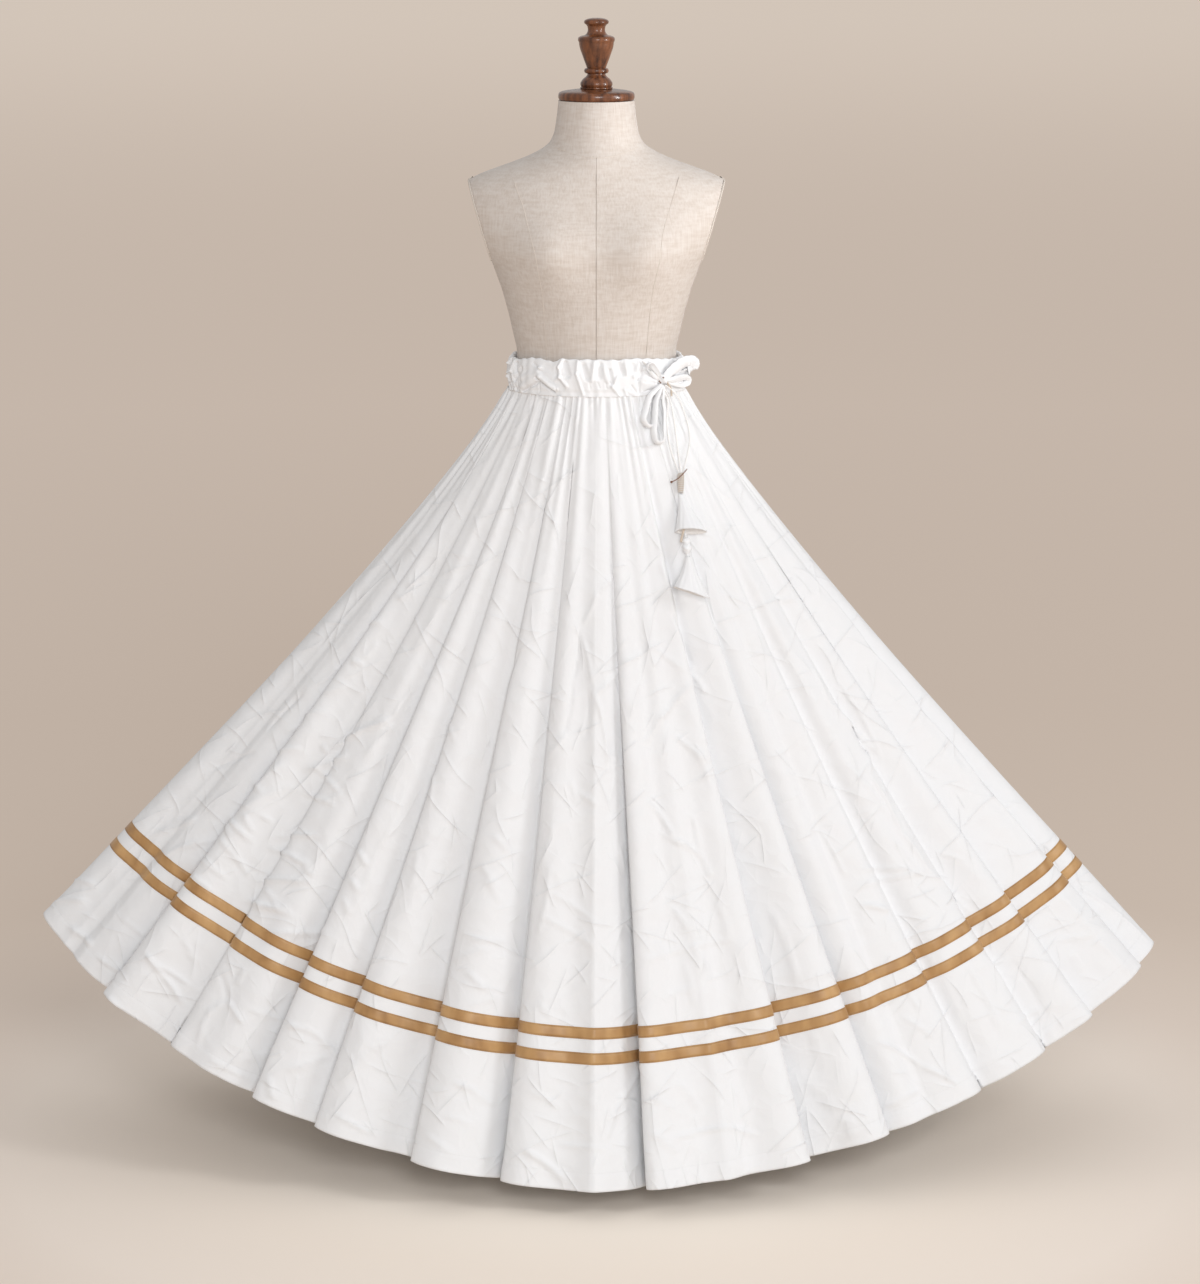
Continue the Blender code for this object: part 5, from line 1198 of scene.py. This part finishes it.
# Each string's thread, radius and stops: x, z and distance from the cloth
STRINGS = {
    "knot_string_left": (pale_thread, STRING_RADIUS, (
        (0.0630, 1.1277, 0.002), (0.0701, 1.1196, 0.004), (0.0789, 1.1104, 0.006), (0.0869, 1.0996, 0.008))),
    "knot_string_right": (pale_thread, STRING_RADIUS, (
        (0.0646, 1.1268, 0.002), (0.0741, 1.1185, 0.004), (0.0829, 1.1085, 0.006), (0.0877, 1.1011, 0.008))),
    "knot_tail": (tan_thread, TAIL_RADIUS, (
        (0.0957, 1.1001, 0.0135), (0.0992, 1.0935, 0.0125), (0.1030, 1.0860, 0.0105),
        (0.1038, 1.0760, 0.0080))),
}
for name, (finish, radius, stops) in STRINGS.items():
    route = smooth_route([over_waist(*stop) for stop in stops], STRING_SPACING)
    show(tube_object(name, round_tube(route, radius, 8), finish), slot="thread")
BEADS = ((0.0920, 1.1042, 0.0140), (0.0867, 1.0996, 0.0138), (0.0883, 1.0975, 0.0142))
BEAD_HALF_TALL, BEAD_RADII = 0.0011, (0.0002, 0.0008, 0.0011, 0.0012, 0.0011, 0.0008, 0.0002)
for number, stop in enumerate(BEADS):
    middle = over_waist(*stop)
    steps = np.linspace(BEAD_HALF_TALL, -BEAD_HALF_TALL, len(BEAD_RADII))
    bead = round_tube([middle + Vector((0, 0, step)) for step in steps], BEAD_RADII, 12)
    show(tube_object("knot_bead_%d" % (number + 1), bead, brown), slot="thread")

WRAP_TURNS, WRAP_STEPS = 9, 22  # rounds of thread, and points on each
WRAP_THREAD, WRAP_CORE = 0.00072, 0.0006  # radius of the thread, and how far the core is inside it


def wrap_radius(share):
    """The wound head's radius from its top to its foot."""
    return np.interp(share, (0, 0.1, 0.8, 1), (0.8, 1, 0.9, 0.7)) * WRAP["radius"]


wrap_axis = wrap_foot - wrap_top
wrap_side = wrap_axis.cross(Vector((0, 1, 0))).normalized()
wrap_deep = wrap_axis.cross(wrap_side).normalized()
core_shares = np.linspace(0, 1, 12)
core = round_tube([wrap_top + wrap_axis * float(share) for share in core_shares],
                  wrap_radius(core_shares) - WRAP_CORE, 20)
tassel_head = show(tube_object("tassel_head", core, pale_thread), "tassel_wrap", slot="thread")
for number, (finish, start) in enumerate(((tan_thread, 0.0), (pale_thread, 0.5))):
    route = []
    for step in range(WRAP_TURNS * WRAP_STEPS + 1):
        share = 0.02 + 0.96 * step / (WRAP_TURNS * WRAP_STEPS)
        turn = 2 * math.pi * (step / WRAP_STEPS + start)
        way = wrap_side * math.cos(turn) + wrap_deep * math.sin(turn)
        route.append(wrap_top + wrap_axis * share + way * float(wrap_radius(share)))
    thread = tube_object("tassel_thread_%d" % (number + 1), round_tube(route, WRAP_THREAD, 8), finish)
    show(thread, slot="thread")
PIN_STOPS = ((0.0948, 0.9597, 0.0130), (0.1022, 0.9624, 0.0140), (0.1078, 0.9664, 0.0145),
             (0.1188, 0.9755, 0.0120))
PIN_SPACING, PIN_RADIUS, PIN_TWIST, PIN_HEAD = 0.0009, 0.0006, 0.00025, (0.0012, 0.0019, 0.0013)
pin = smooth_route([over_cloth(*stop) for stop in PIN_STOPS], PIN_SPACING)
pin_radius = PIN_RADIUS + PIN_TWIST * np.sin(np.arange(len(pin)) * 2.4)
pin_radius[:len(PIN_HEAD)] = PIN_HEAD
show(tube_object("tassel_pin", round_tube(pin, pin_radius, 10), brown), slot="thread")

BELL_TOP_RADIUS, BELL_WALL = 0.0034, 0.0010
BELL_COLUMNS = ("name", "x", "z", "lift", "foot_x", "foot_z", "foot_lift",
                "half_wide", "half_deep", "back_drop", "slant")
BELLS = (
    ("tassel_bell_upper", 0.1120, 0.9438, 0.0085, 0.1210, 0.8980, 0.0215, 0.0215, 0.0110, 0.012, 0.0),
    ("tassel_bell_lower", 0.1158, 0.8590, 0.0200, 0.1205, 0.8140, 0.0245, 0.0245, 0.0110, 0.006, -0.008),
)
BELL_SIDES, BELL_ROWS = 72, 26
bell_cotton = cotton_finish("bell_cotton", 0.15)
# The bells' inner faces are the same cotton, coloured lighter than the outside: painted light in their shaded insides.
bell_inside_lightened = new_finish("bell_inside_lightened", (0.88, 0.86, 0.84), 0.85)[0]
for row in BELLS:
    bell = dict(zip(BELL_COLUMNS, row))
    top, foot = (np.array(over_cloth(*row[first:first + 3])) for first in (1, 4))
    turn = (np.arange(BELL_SIDES) * 2 * math.pi / BELL_SIDES)[None, :]
    share = np.concatenate([np.linspace(0, 1, BELL_ROWS), np.linspace(1, 0.02, BELL_ROWS)])[:, None]
    wall = np.where(np.arange(2 * BELL_ROWS) < BELL_ROWS, 0.0, BELL_WALL)[:, None]
    spread = 0.25 * share ** 1.15 + 0.75 * share ** 1.55
    pleat = 1 + 0.10 * share * np.cos(3 * turn + 0.6)
    flute = 0.045 * np.sin(math.pi * share) * np.sin(9 * turn + 3 * share + 1)
    flute = flute + 0.03 * share * np.sin(17 * turn + 2)
    wide = (BELL_TOP_RADIUS + (bell["half_wide"] - BELL_TOP_RADIUS) * spread * pleat) * (1 + flute) - wall
    deep = (BELL_TOP_RADIUS + (bell["half_deep"] - BELL_TOP_RADIUS) * spread) * (1 + flute) - wall
    middle = top + (foot - top) * share[..., None]
    points = np.stack([
        middle[..., 0] + wide * np.sin(turn), middle[..., 1] - deep * np.cos(turn),
        middle[..., 2] - bell["back_drop"] * share ** 3 * (0.5 - 0.5 * np.cos(turn))
        + bell["slant"] * share ** 2 * np.sin(turn) + 0 * turn,
    ], axis=-1)
    points = np.concatenate([points, points[:, :1]], axis=1)
    cloth_bell = sheet_object(bell["name"] + "_cloth", points, bell_cotton, inside=bell_inside_lightened,
                              inside_rows=BELL_ROWS)
    show(cloth_bell, bell["name"])

link_top, link_foot = (over_cloth(row[1], row[2] - 2 * SEAM, row[3]) for row in BELLS)
link_shares = np.linspace(0, 1, 90)
link_route = [link_top.lerp(link_foot, float(share)) for share in link_shares]
LINK_STRAND, LINK_BEAD = 0.0014, 0.0062
link_radius = np.interp(link_shares, (0, 0.66, 0.70, 0.73, 0.76, 0.79, 0.83, 0.87, 0.91, 0.95, 1.0),
                        np.array((LINK_STRAND, LINK_STRAND, 0.0040, LINK_BEAD, 0.0056, 0.0046, 0.0056,
                                  LINK_BEAD, 0.0048, LINK_STRAND, LINK_STRAND)))
link_radius = link_radius * (1 + 0.10 * np.sin(link_shares * 150))
link = round_tube(link_route, link_radius, 28)
twist = np.arange(28)[None, :] * 2 * math.pi / 28 * 3 + link_shares[:, None] * 60
centre = np.array([tuple(point) for point in link_route])[:, None]
link = centre + (link - centre) * (1 + 0.12 * np.sin(twist))[..., None]
show(tube_object("tassel_link_cloth", link, tape_cotton), "tassel_link")
STRIP_STOPS = ((0.1125, 0.9150, 0.0160), (0.1100, 0.8980, 0.0190), (0.1080, 0.8850, 0.0195),
               (0.1075, 0.8790, 0.0190))
STRIP_RADIUS = 0.0016
strip = smooth_route([over_cloth(*stop) for stop in STRIP_STOPS], STRING_SPACING)
show(tube_object("tassel_strip", round_tube(strip, STRIP_RADIUS, 10), tan_thread), slot="thread")

# Dress form
# A padded torso without limbs, covered in ivory linen with a seam down the middle and one over each side of
# the front and the back. The arms end in flat plates edged with piping. It stands on a steel pole.
# Sections of the torso: height, half width, depth to the front and to the back, and how square it is
FORM_SECTIONS = (
    (1.4777, 0.0523, 0.0523, 0.0523, 2.0), (1.4560, 0.0546, 0.0540, 0.0540, 2.0),
    (1.4345, 0.0579, 0.0560, 0.0570, 2.0), (1.4200, 0.0640, 0.0590, 0.0620, 1.9),
    (1.4110, 0.0760, 0.0620, 0.0660, 1.7), (1.4010, 0.0960, 0.0660, 0.0710, 1.6),
    (1.3905, 0.1250, 0.0690, 0.0760, 1.6), (1.3790, 0.1580, 0.0720, 0.0810, 1.6),
    (1.3690, 0.1780, 0.0750, 0.0860, 1.7), (1.3560, 0.1900, 0.0790, 0.0910, 1.8),
    (1.3330, 0.1900, 0.0860, 0.0960, 2.0), (1.3030, 0.1790, 0.0950, 0.0970, 2.1),
    (1.2730, 0.1590, 0.1010, 0.0940, 2.2), (1.2480, 0.1420, 0.1000, 0.0900, 2.2),
    (1.2180, 0.1312, 0.0950, 0.0860, 2.2), (1.1850, 0.1223, 0.0900, 0.0840, 2.1),
    (1.1480, 0.1140, 0.0870, 0.0840, 2.0), (1.1360, 0.1110, 0.0860, 0.0860, 2.0),
    (1.0740, 0.1110, 0.0860, 0.0860, 2.0), (1.0300, 0.1200, 0.0900, 0.0980, 2.1),
    (0.9700, 0.1400, 0.0980, 0.1100, 2.2), (0.9100, 0.1510, 0.1030, 0.1150, 2.2),
    (0.8500, 0.1500, 0.1030, 0.1120, 2.2), (0.8100, 0.1440, 0.0990, 0.1070, 2.2),
)
ARMHOLE_TOP, ARMHOLE_FOOT = (1.368, 0.1765), (1.2575, 0.1440)
BUST = {"out": 0.016, "apart": 0.072, "height": 1.275, "wide": 0.048, "tall": 0.050}
FORM_SIDES = 176
FORM_SOFT = 0.0050  # how far the sections are rounded into each other
SEAM_TUBE, PIPING_TUBE, SEAM_SPACING = 0.0004, 0.0013, 0.004
BACK_NECK_HIGHER = 0.006

section_columns = np.array(FORM_SECTIONS)[::-1].T
fine_heights = np.linspace(section_columns[0][0], section_columns[0][-1], 1200)
window = np.exp(-((np.arange(-60, 61) * (fine_heights[1] - fine_heights[0]) / FORM_SOFT) ** 2))
fine_sections = []
for values in section_columns[1:]:
    fine = np.interp(fine_heights, section_columns[0], values)
    padded = np.concatenate([2 * fine[0] - fine[60:0:-1], fine, 2 * fine[-1] - fine[-2:-62:-1]])
    fine_sections.append(np.convolve(padded, window / window.sum(), mode="valid"))


def plate_limit(heights):
    """How far from the middle the flat arm plates cut the torso off."""
    (top, top_half), (foot, foot_half) = ARMHOLE_TOP, ARMHOLE_FOOT
    return top_half + (heights - top) * (top_half - foot_half) / (top - foot)


def form_surface(heights, turns=None, across=None, back=False):
    """Points of the torso at these heights, by angle from the front or by distance from the middle."""
    heights = np.asarray(heights, float)
    wide, front, behind, round_power = (np.interp(heights, fine_heights, values) for values in fine_sections)
    if across is not None:
        side = np.arcsin(np.clip(np.abs(across) / wide, 0, 1) ** (round_power / 2))
        turns = np.sign(across) * np.where(back, math.pi - side, side)
    x = wide * signed_power(np.sin(turns), 2 / round_power)
    forward = np.cos(turns)
    y = -np.where(forward > 0, front, behind) * signed_power(forward, 2 / round_power)
    limit = np.where(heights > ARMHOLE_FOOT[0] - 0.02, plate_limit(heights), 1.0)
    x = np.clip(x, -limit, limit)
    for side in (-1, 1):
        aside, above = (x - side * BUST["apart"]) / BUST["wide"], (heights - BUST["height"]) / BUST["tall"]
        y = y - np.where(forward > 0, BUST["out"] * np.exp(-(aside ** 2 + above ** 2)), 0)
    return np.stack(np.broadcast_arrays(x, y, heights), axis=-1)


linen, linen_shader = new_finish("ivory_linen", (0.57, 0.49, 0.42), 0.6, Sheen_Weight=0.12)
linen_shader.inputs["Specular IOR Level"].default_value = 0.45
linen_place = add_node(linen, "ShaderNodeTexCoord").outputs["Object"]
slub_up = add_noise(linen, linen_place, (1, 1, 0.06), 420.0, 2.0)
slub_across = add_noise(linen, linen_place, (0.2, 0.2, 1), 260.0, 2.0)
slubs = add_math(linen, "ADD", slub_up, slub_across)
linen_tone = add_ramp(linen, add_math(linen, "MULTIPLY", slubs, 0.5), (0.36, (0.53, 0.465, 0.41)),
                      (0.50, (0.575, 0.515, 0.465)), (0.64, (0.61, 0.56, 0.515)))
join_finish(linen, linen_shader, linen_tone, add_bump(linen, slubs, 0.0003))

form_heights = np.concatenate([np.linspace(1.4777, 1.10, 126), np.linspace(1.09, 0.81, 29)])[:, None]
form_turns = (np.arange(FORM_SIDES + 1) * 2 * math.pi / FORM_SIDES)[None, :]
torso_points = form_surface(form_heights, form_turns)
torso = tube_object("torso_cloth", torso_points[:, :-1], linen)
torso.data.set_sharp_from_angle(angle=math.radians(50))
show(torso, "form_torso", slot="linen")

# Each seam's stops, by distance from the middle and height
FORM_SEAMS = {
    "middle": ((0.0, 1.4036), (0.0, 1.27), (0.0, 1.1294)),
    "left": ((-0.1214, 1.3918), (-0.1003, 1.3391), (-0.0837, 1.2767), (-0.0739, 1.2189), (-0.0682, 1.1298)),
    "right": ((0.1190, 1.3932), (0.1059, 1.3533), (0.0905, 1.3042), (0.0864, 1.2669), (0.0759, 1.2187),
              (0.0682, 1.1298)),
    "neck": ((-0.0646, 1.4190), (-0.05, 1.4140), (-0.0335, 1.4089), (-0.0171, 1.4050), (0.0, 1.4036),
             (0.0157, 1.4048), (0.0321, 1.4083), (0.0486, 1.4134), (0.0640, 1.4186)),
}
seam_linen = new_finish("seam_linen", (0.60, 0.54, 0.48), 0.9)[0]
for back in (False, True):
    for name, stops in FORM_SEAMS.items():
        across, heights = np.array(stops).T
        if back and name == "neck":
            heights = heights + BACK_NECK_HIGHER
        fine = np.linspace(0, 1, 60)
        marks = np.linspace(0, 1, len(stops))
        across = np.interp(fine, marks, across)
        route = form_surface(np.interp(fine, marks, heights), across=across, back=back)
        route = smooth_route([Vector(point) for point in route[::5]] + [Vector(route[-1])], SEAM_SPACING)
        label = "form_seam_%s_%s" % ("back" if back else "front", name)
        show(tube_object(label, round_tube(route, SEAM_TUBE, 8), seam_linen), slot="linen")
for side in (-1, 1):
    heights = np.linspace(ARMHOLE_FOOT[0] + 0.004, ARMHOLE_TOP[0] + 0.004, 40)
    loop = []
    half_wide = np.minimum(plate_limit(heights), np.interp(heights, fine_heights, fine_sections[0]))
    for back in (False, True):
        edge = form_surface(heights, across=side * half_wide, back=back)
        loop += list(edge[::-1] if back else edge)
    route = smooth_route([Vector(point) for point in loop + loop[:1]], SEAM_SPACING)
    label = "armplate_piping_%s" % ("left" if side < 0 else "right")
    show(tube_object(label, round_tube(route, PIPING_TUBE, 8), seam_linen), slot="linen")

# Neck cap, finial and stand
# The neck is closed by a cap of walnut and a turned finial, stained dark and lacquered to a high gloss.
# The pole is brushed steel and the foot is a round plate of the same wood.
# Rings of the turned pieces, from the top down: radius and height
FINIAL_RINGS = (
    (0.0005, 1.5898), (0.0060, 1.5897), (0.0120, 1.5886), (0.0160, 1.5868), (0.0171, 1.5845),
    (0.0165, 1.5822), (0.0140, 1.5805), (0.0124, 1.5780), (0.0118, 1.5745), (0.0121, 1.5715),
    (0.0133, 1.5690), (0.0150, 1.5672), (0.0168, 1.5662), (0.0205, 1.5655), (0.0222, 1.5648),
    (0.0245, 1.5636), (0.0254, 1.5612), (0.0252, 1.5590), (0.0243, 1.5572), (0.0240, 1.5565),
    (0.0238, 1.5540), (0.0231, 1.5500), (0.0219, 1.5460), (0.0204, 1.5420), (0.0190, 1.5380),
    (0.0172, 1.5330), (0.0153, 1.5280), (0.0136, 1.5235), (0.0131, 1.5222), (0.0140, 1.5216),
    (0.0160, 1.5210), (0.0170, 1.5185), (0.0165, 1.5160), (0.0148, 1.5147), (0.0125, 1.5140),
    (0.0128, 1.5122), (0.0150, 1.5098), (0.0187, 1.5070), (0.0220, 1.5020), (0.0222, 1.4995),
    (0.0214, 1.4970), (0.0207, 1.4960), (0.0224, 1.4955), (0.0226, 1.4945), (0.0222, 1.4939),
)
CAP_RINGS = (
    (0.0205, 1.4936), (0.0300, 1.4928), (0.0420, 1.4912), (0.0480, 1.4900), (0.0510, 1.4886),
    (0.0522, 1.4868), (0.0526, 1.4845), (0.0526, 1.4820), (0.0521, 1.4800), (0.0512, 1.4788),
    (0.0500, 1.4780),
)
TURNED_SIDES = 72
walnut, walnut_shader = new_finish("walnut", (0.08, 0.03, 0.012), 0.34, Coat_Weight=0.35, Coat_Roughness=0.06)
walnut_shader.inputs["Specular IOR Level"].default_value = 0.35
walnut_place = add_node(walnut, "ShaderNodeTexCoord").outputs["Object"]
grain = add_noise(walnut, walnut_place, (1, 1, 0.08), 150.0, 3.0)
walnut_tone = add_ramp(walnut, grain, (0.30, (0.042, 0.012, 0.005)), (0.62, (0.19, 0.066, 0.024)))
join_finish(walnut, walnut_shader, walnut_tone, add_bump(walnut, grain, 0.0001))
for name, profile in (("neck_cap", CAP_RINGS), ("finial", FINIAL_RINGS)):
    radius, height = np.array(profile).T[..., None]
    turn = (np.arange(TURNED_SIDES) * 2 * math.pi / TURNED_SIDES)[None, :]
    rings = np.stack(np.broadcast_arrays(radius * np.sin(turn), -radius * np.cos(turn), height), axis=-1)
    made = tube_object(name + "_wood", rings, walnut)
    made.data.set_sharp_from_angle(angle=math.radians(60))
    show(made, "form_" + name, slot="wood")

steel, steel_shader = new_finish("brushed_steel", (0.42, 0.40, 0.38), 0.32, Metallic=1.0)
steel_place = add_node(steel, "ShaderNodeTexCoord").outputs["Object"]
brushed = add_noise(steel, steel_place, (1, 1, 0.02), 900.0)
join_finish(steel, steel_shader, normal=add_bump(steel, brushed, 0.00004))
for name, finish in (("form_pole", steel), ("form_base", walnut)):
    solid = bpy.data.objects[name]
    solid.data.materials.clear()
    solid.data.materials.append(finish)

# What each piece of cloth and cord is
# Flat sizes are the width round the piece and the length down it, as cut, of what shows.
for (cord, points), far_end in zip(cords, ("knot", "fitting", "knot")):
    long = sum((there - here).length for here, there in zip(points, points[1:]))
    extra = {"with_pieces": [tassel_head]} if far_end == "fitting" else {}
    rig.cord(cord, exit=tuple(points[0]), length=round(long, 3), diameter=2 * CORD_RADIUS, far_end=far_end,
            stiffness="limp", lay="hanging", **extra)

# Each gore: how wide its hem is cut, and its flat area; ribbons: how long each is cut
GORE_LONG = LENGTH_FRONT * (1 + HEM_TURN)
GORE_CUTS = ((1.40, 0.83), (1.19, 0.71), (1.16, 0.70), (1.26, 0.75))
RIBBON_CUTS = (4.01, 4.15)
BAND_CUT = (1.00, 0.062)
for gore, (wide, area) in zip(gores, GORE_CUTS):
    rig.sheet(gore, flat=(wide, round(GORE_LONG, 3)), held="gathered", rests_on=[band], area=area)
for ribbon, long in zip(ribbons, RIBBON_CUTS):
    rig.sheet(ribbon, flat=(long, 0.016), held="laid", rests_on=gores)
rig.sheet(band, flat=BAND_CUT, held="gathered", rests_on=["torso_cloth"], with_pieces=[waist_stitches])

# Light and floor
# A pale seamless floor and even light from all round. One soft lamp stands in front, another to the
# right, a large one far behind lights the backdrop, and a narrow one from the right falls on the torso.
FLOOR_RADIUS, FLOOR_SIDES = 60.0, 96
COOL_WHITE, WARM_WHITE = (0.98, 1.0, 1.03), (1.0, 0.985, 0.97)
ROUND_LIGHT, ROUND_STRENGTH = (1.0, 0.985, 0.975), 0.58
floor_mesh = bpy.data.meshes.new("floor")
ring = [(FLOOR_RADIUS * math.cos(turn), FLOOR_RADIUS * math.sin(turn), 0)
        for turn in (2 * math.pi * side / FLOOR_SIDES for side in range(FLOOR_SIDES))]
floor_mesh.from_pydata(ring, [], [list(range(FLOOR_SIDES))])
floor = bpy.data.objects.new("floor", floor_mesh)
bpy.context.scene.collection.objects.link(floor)
floor_finish, floor_shader = new_finish("floor_paper", (0.72, 0.64, 0.57), 0.95)
floor_shader.inputs["Specular IOR Level"].default_value = 0.0
floor_place = add_node(floor_finish, "ShaderNodeTexCoord").outputs["Object"]
# The floor's colour is painted by distance from the form. It is brighter close round the skirt, which lightens the
# skirt's shadow, darkest at about 1.5 m, and brighter again far off, where the lamps fall away: painted light and
# shade.
away = add_node(floor_finish, "ShaderNodeVectorMath", {"operation": "LENGTH"}, _0=floor_place)
away = add_math(floor_finish, "LOGARITHM", away.outputs["Value"], 10.0)
away = add_range(floor_finish, away, -0.5, 1.7)
floor_painted_light = add_ramp(floor_finish, away,
                (0.070, (0.94, 0.85, 0.75)), (0.126, (0.91, 0.81, 0.71)), (0.195, (0.88, 0.78, 0.69)),
                (0.237, (0.80, 0.69, 0.60)), (0.307, (0.74, 0.625, 0.53)), (0.444, (0.79, 0.665, 0.565)),
                (0.625, (0.90, 0.765, 0.66)), (0.762, (0.90, 0.77, 0.665)), (0.955, (0.90, 0.79, 0.69)))
join_finish(floor_finish, floor_shader, floor_painted_light)
floor_mesh.materials.append(floor_finish)
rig.stage(floor)

world = bpy.data.worlds.new("studio")
world.use_nodes = True
background = world.node_tree.nodes["Background"]
background.inputs["Color"].default_value = (*ROUND_LIGHT, 1)
background.inputs["Strength"].default_value = ROUND_STRENGTH
bpy.context.scene.world = world
bpy.context.scene.view_settings.view_transform = "Standard"


def add_lamp(name, kind, place, aim, power, **settings):
    """A lamp that faces its aim."""
    lamp_data = bpy.data.lights.new(name, kind)
    lamp_data.energy = power
    for setting, value in settings.items():
        setattr(lamp_data, setting, value)
    lamp = bpy.data.objects.new(name, lamp_data)
    lamp.location = place
    lamp.rotation_euler = (Vector(aim) - Vector(place)).to_track_quat("-Z", "Y").to_euler()
    bpy.context.scene.collection.objects.link(lamp)


add_lamp("front", "AREA", (0.7, -5.6, 2.6), (0.0, 0, 0.5), 128, size=1.8, color=COOL_WHITE)
add_lamp("key", "AREA", (4.2, -2.1, 3.1), (0.1, 0, 0.7), 58, size=1.2, color=COOL_WHITE)
add_lamp("backdrop", "AREA", (0, 45, 14), (0, 45, 0), 1400, size=50, color=WARM_WHITE)
add_lamp("torso_spot", "SPOT", (2.8, -1.2, 1.40), (0, 0, 1.385), 190, spot_size=math.radians(13.5),
         spot_blend=0.5, shadow_soft_size=0.3)

low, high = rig.bounds()
with open("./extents.json", "w") as sizes:
    json.dump({"cad": [list(cad_low), list(cad_high)], "visual": [list(low), list(high)]}, sizes)
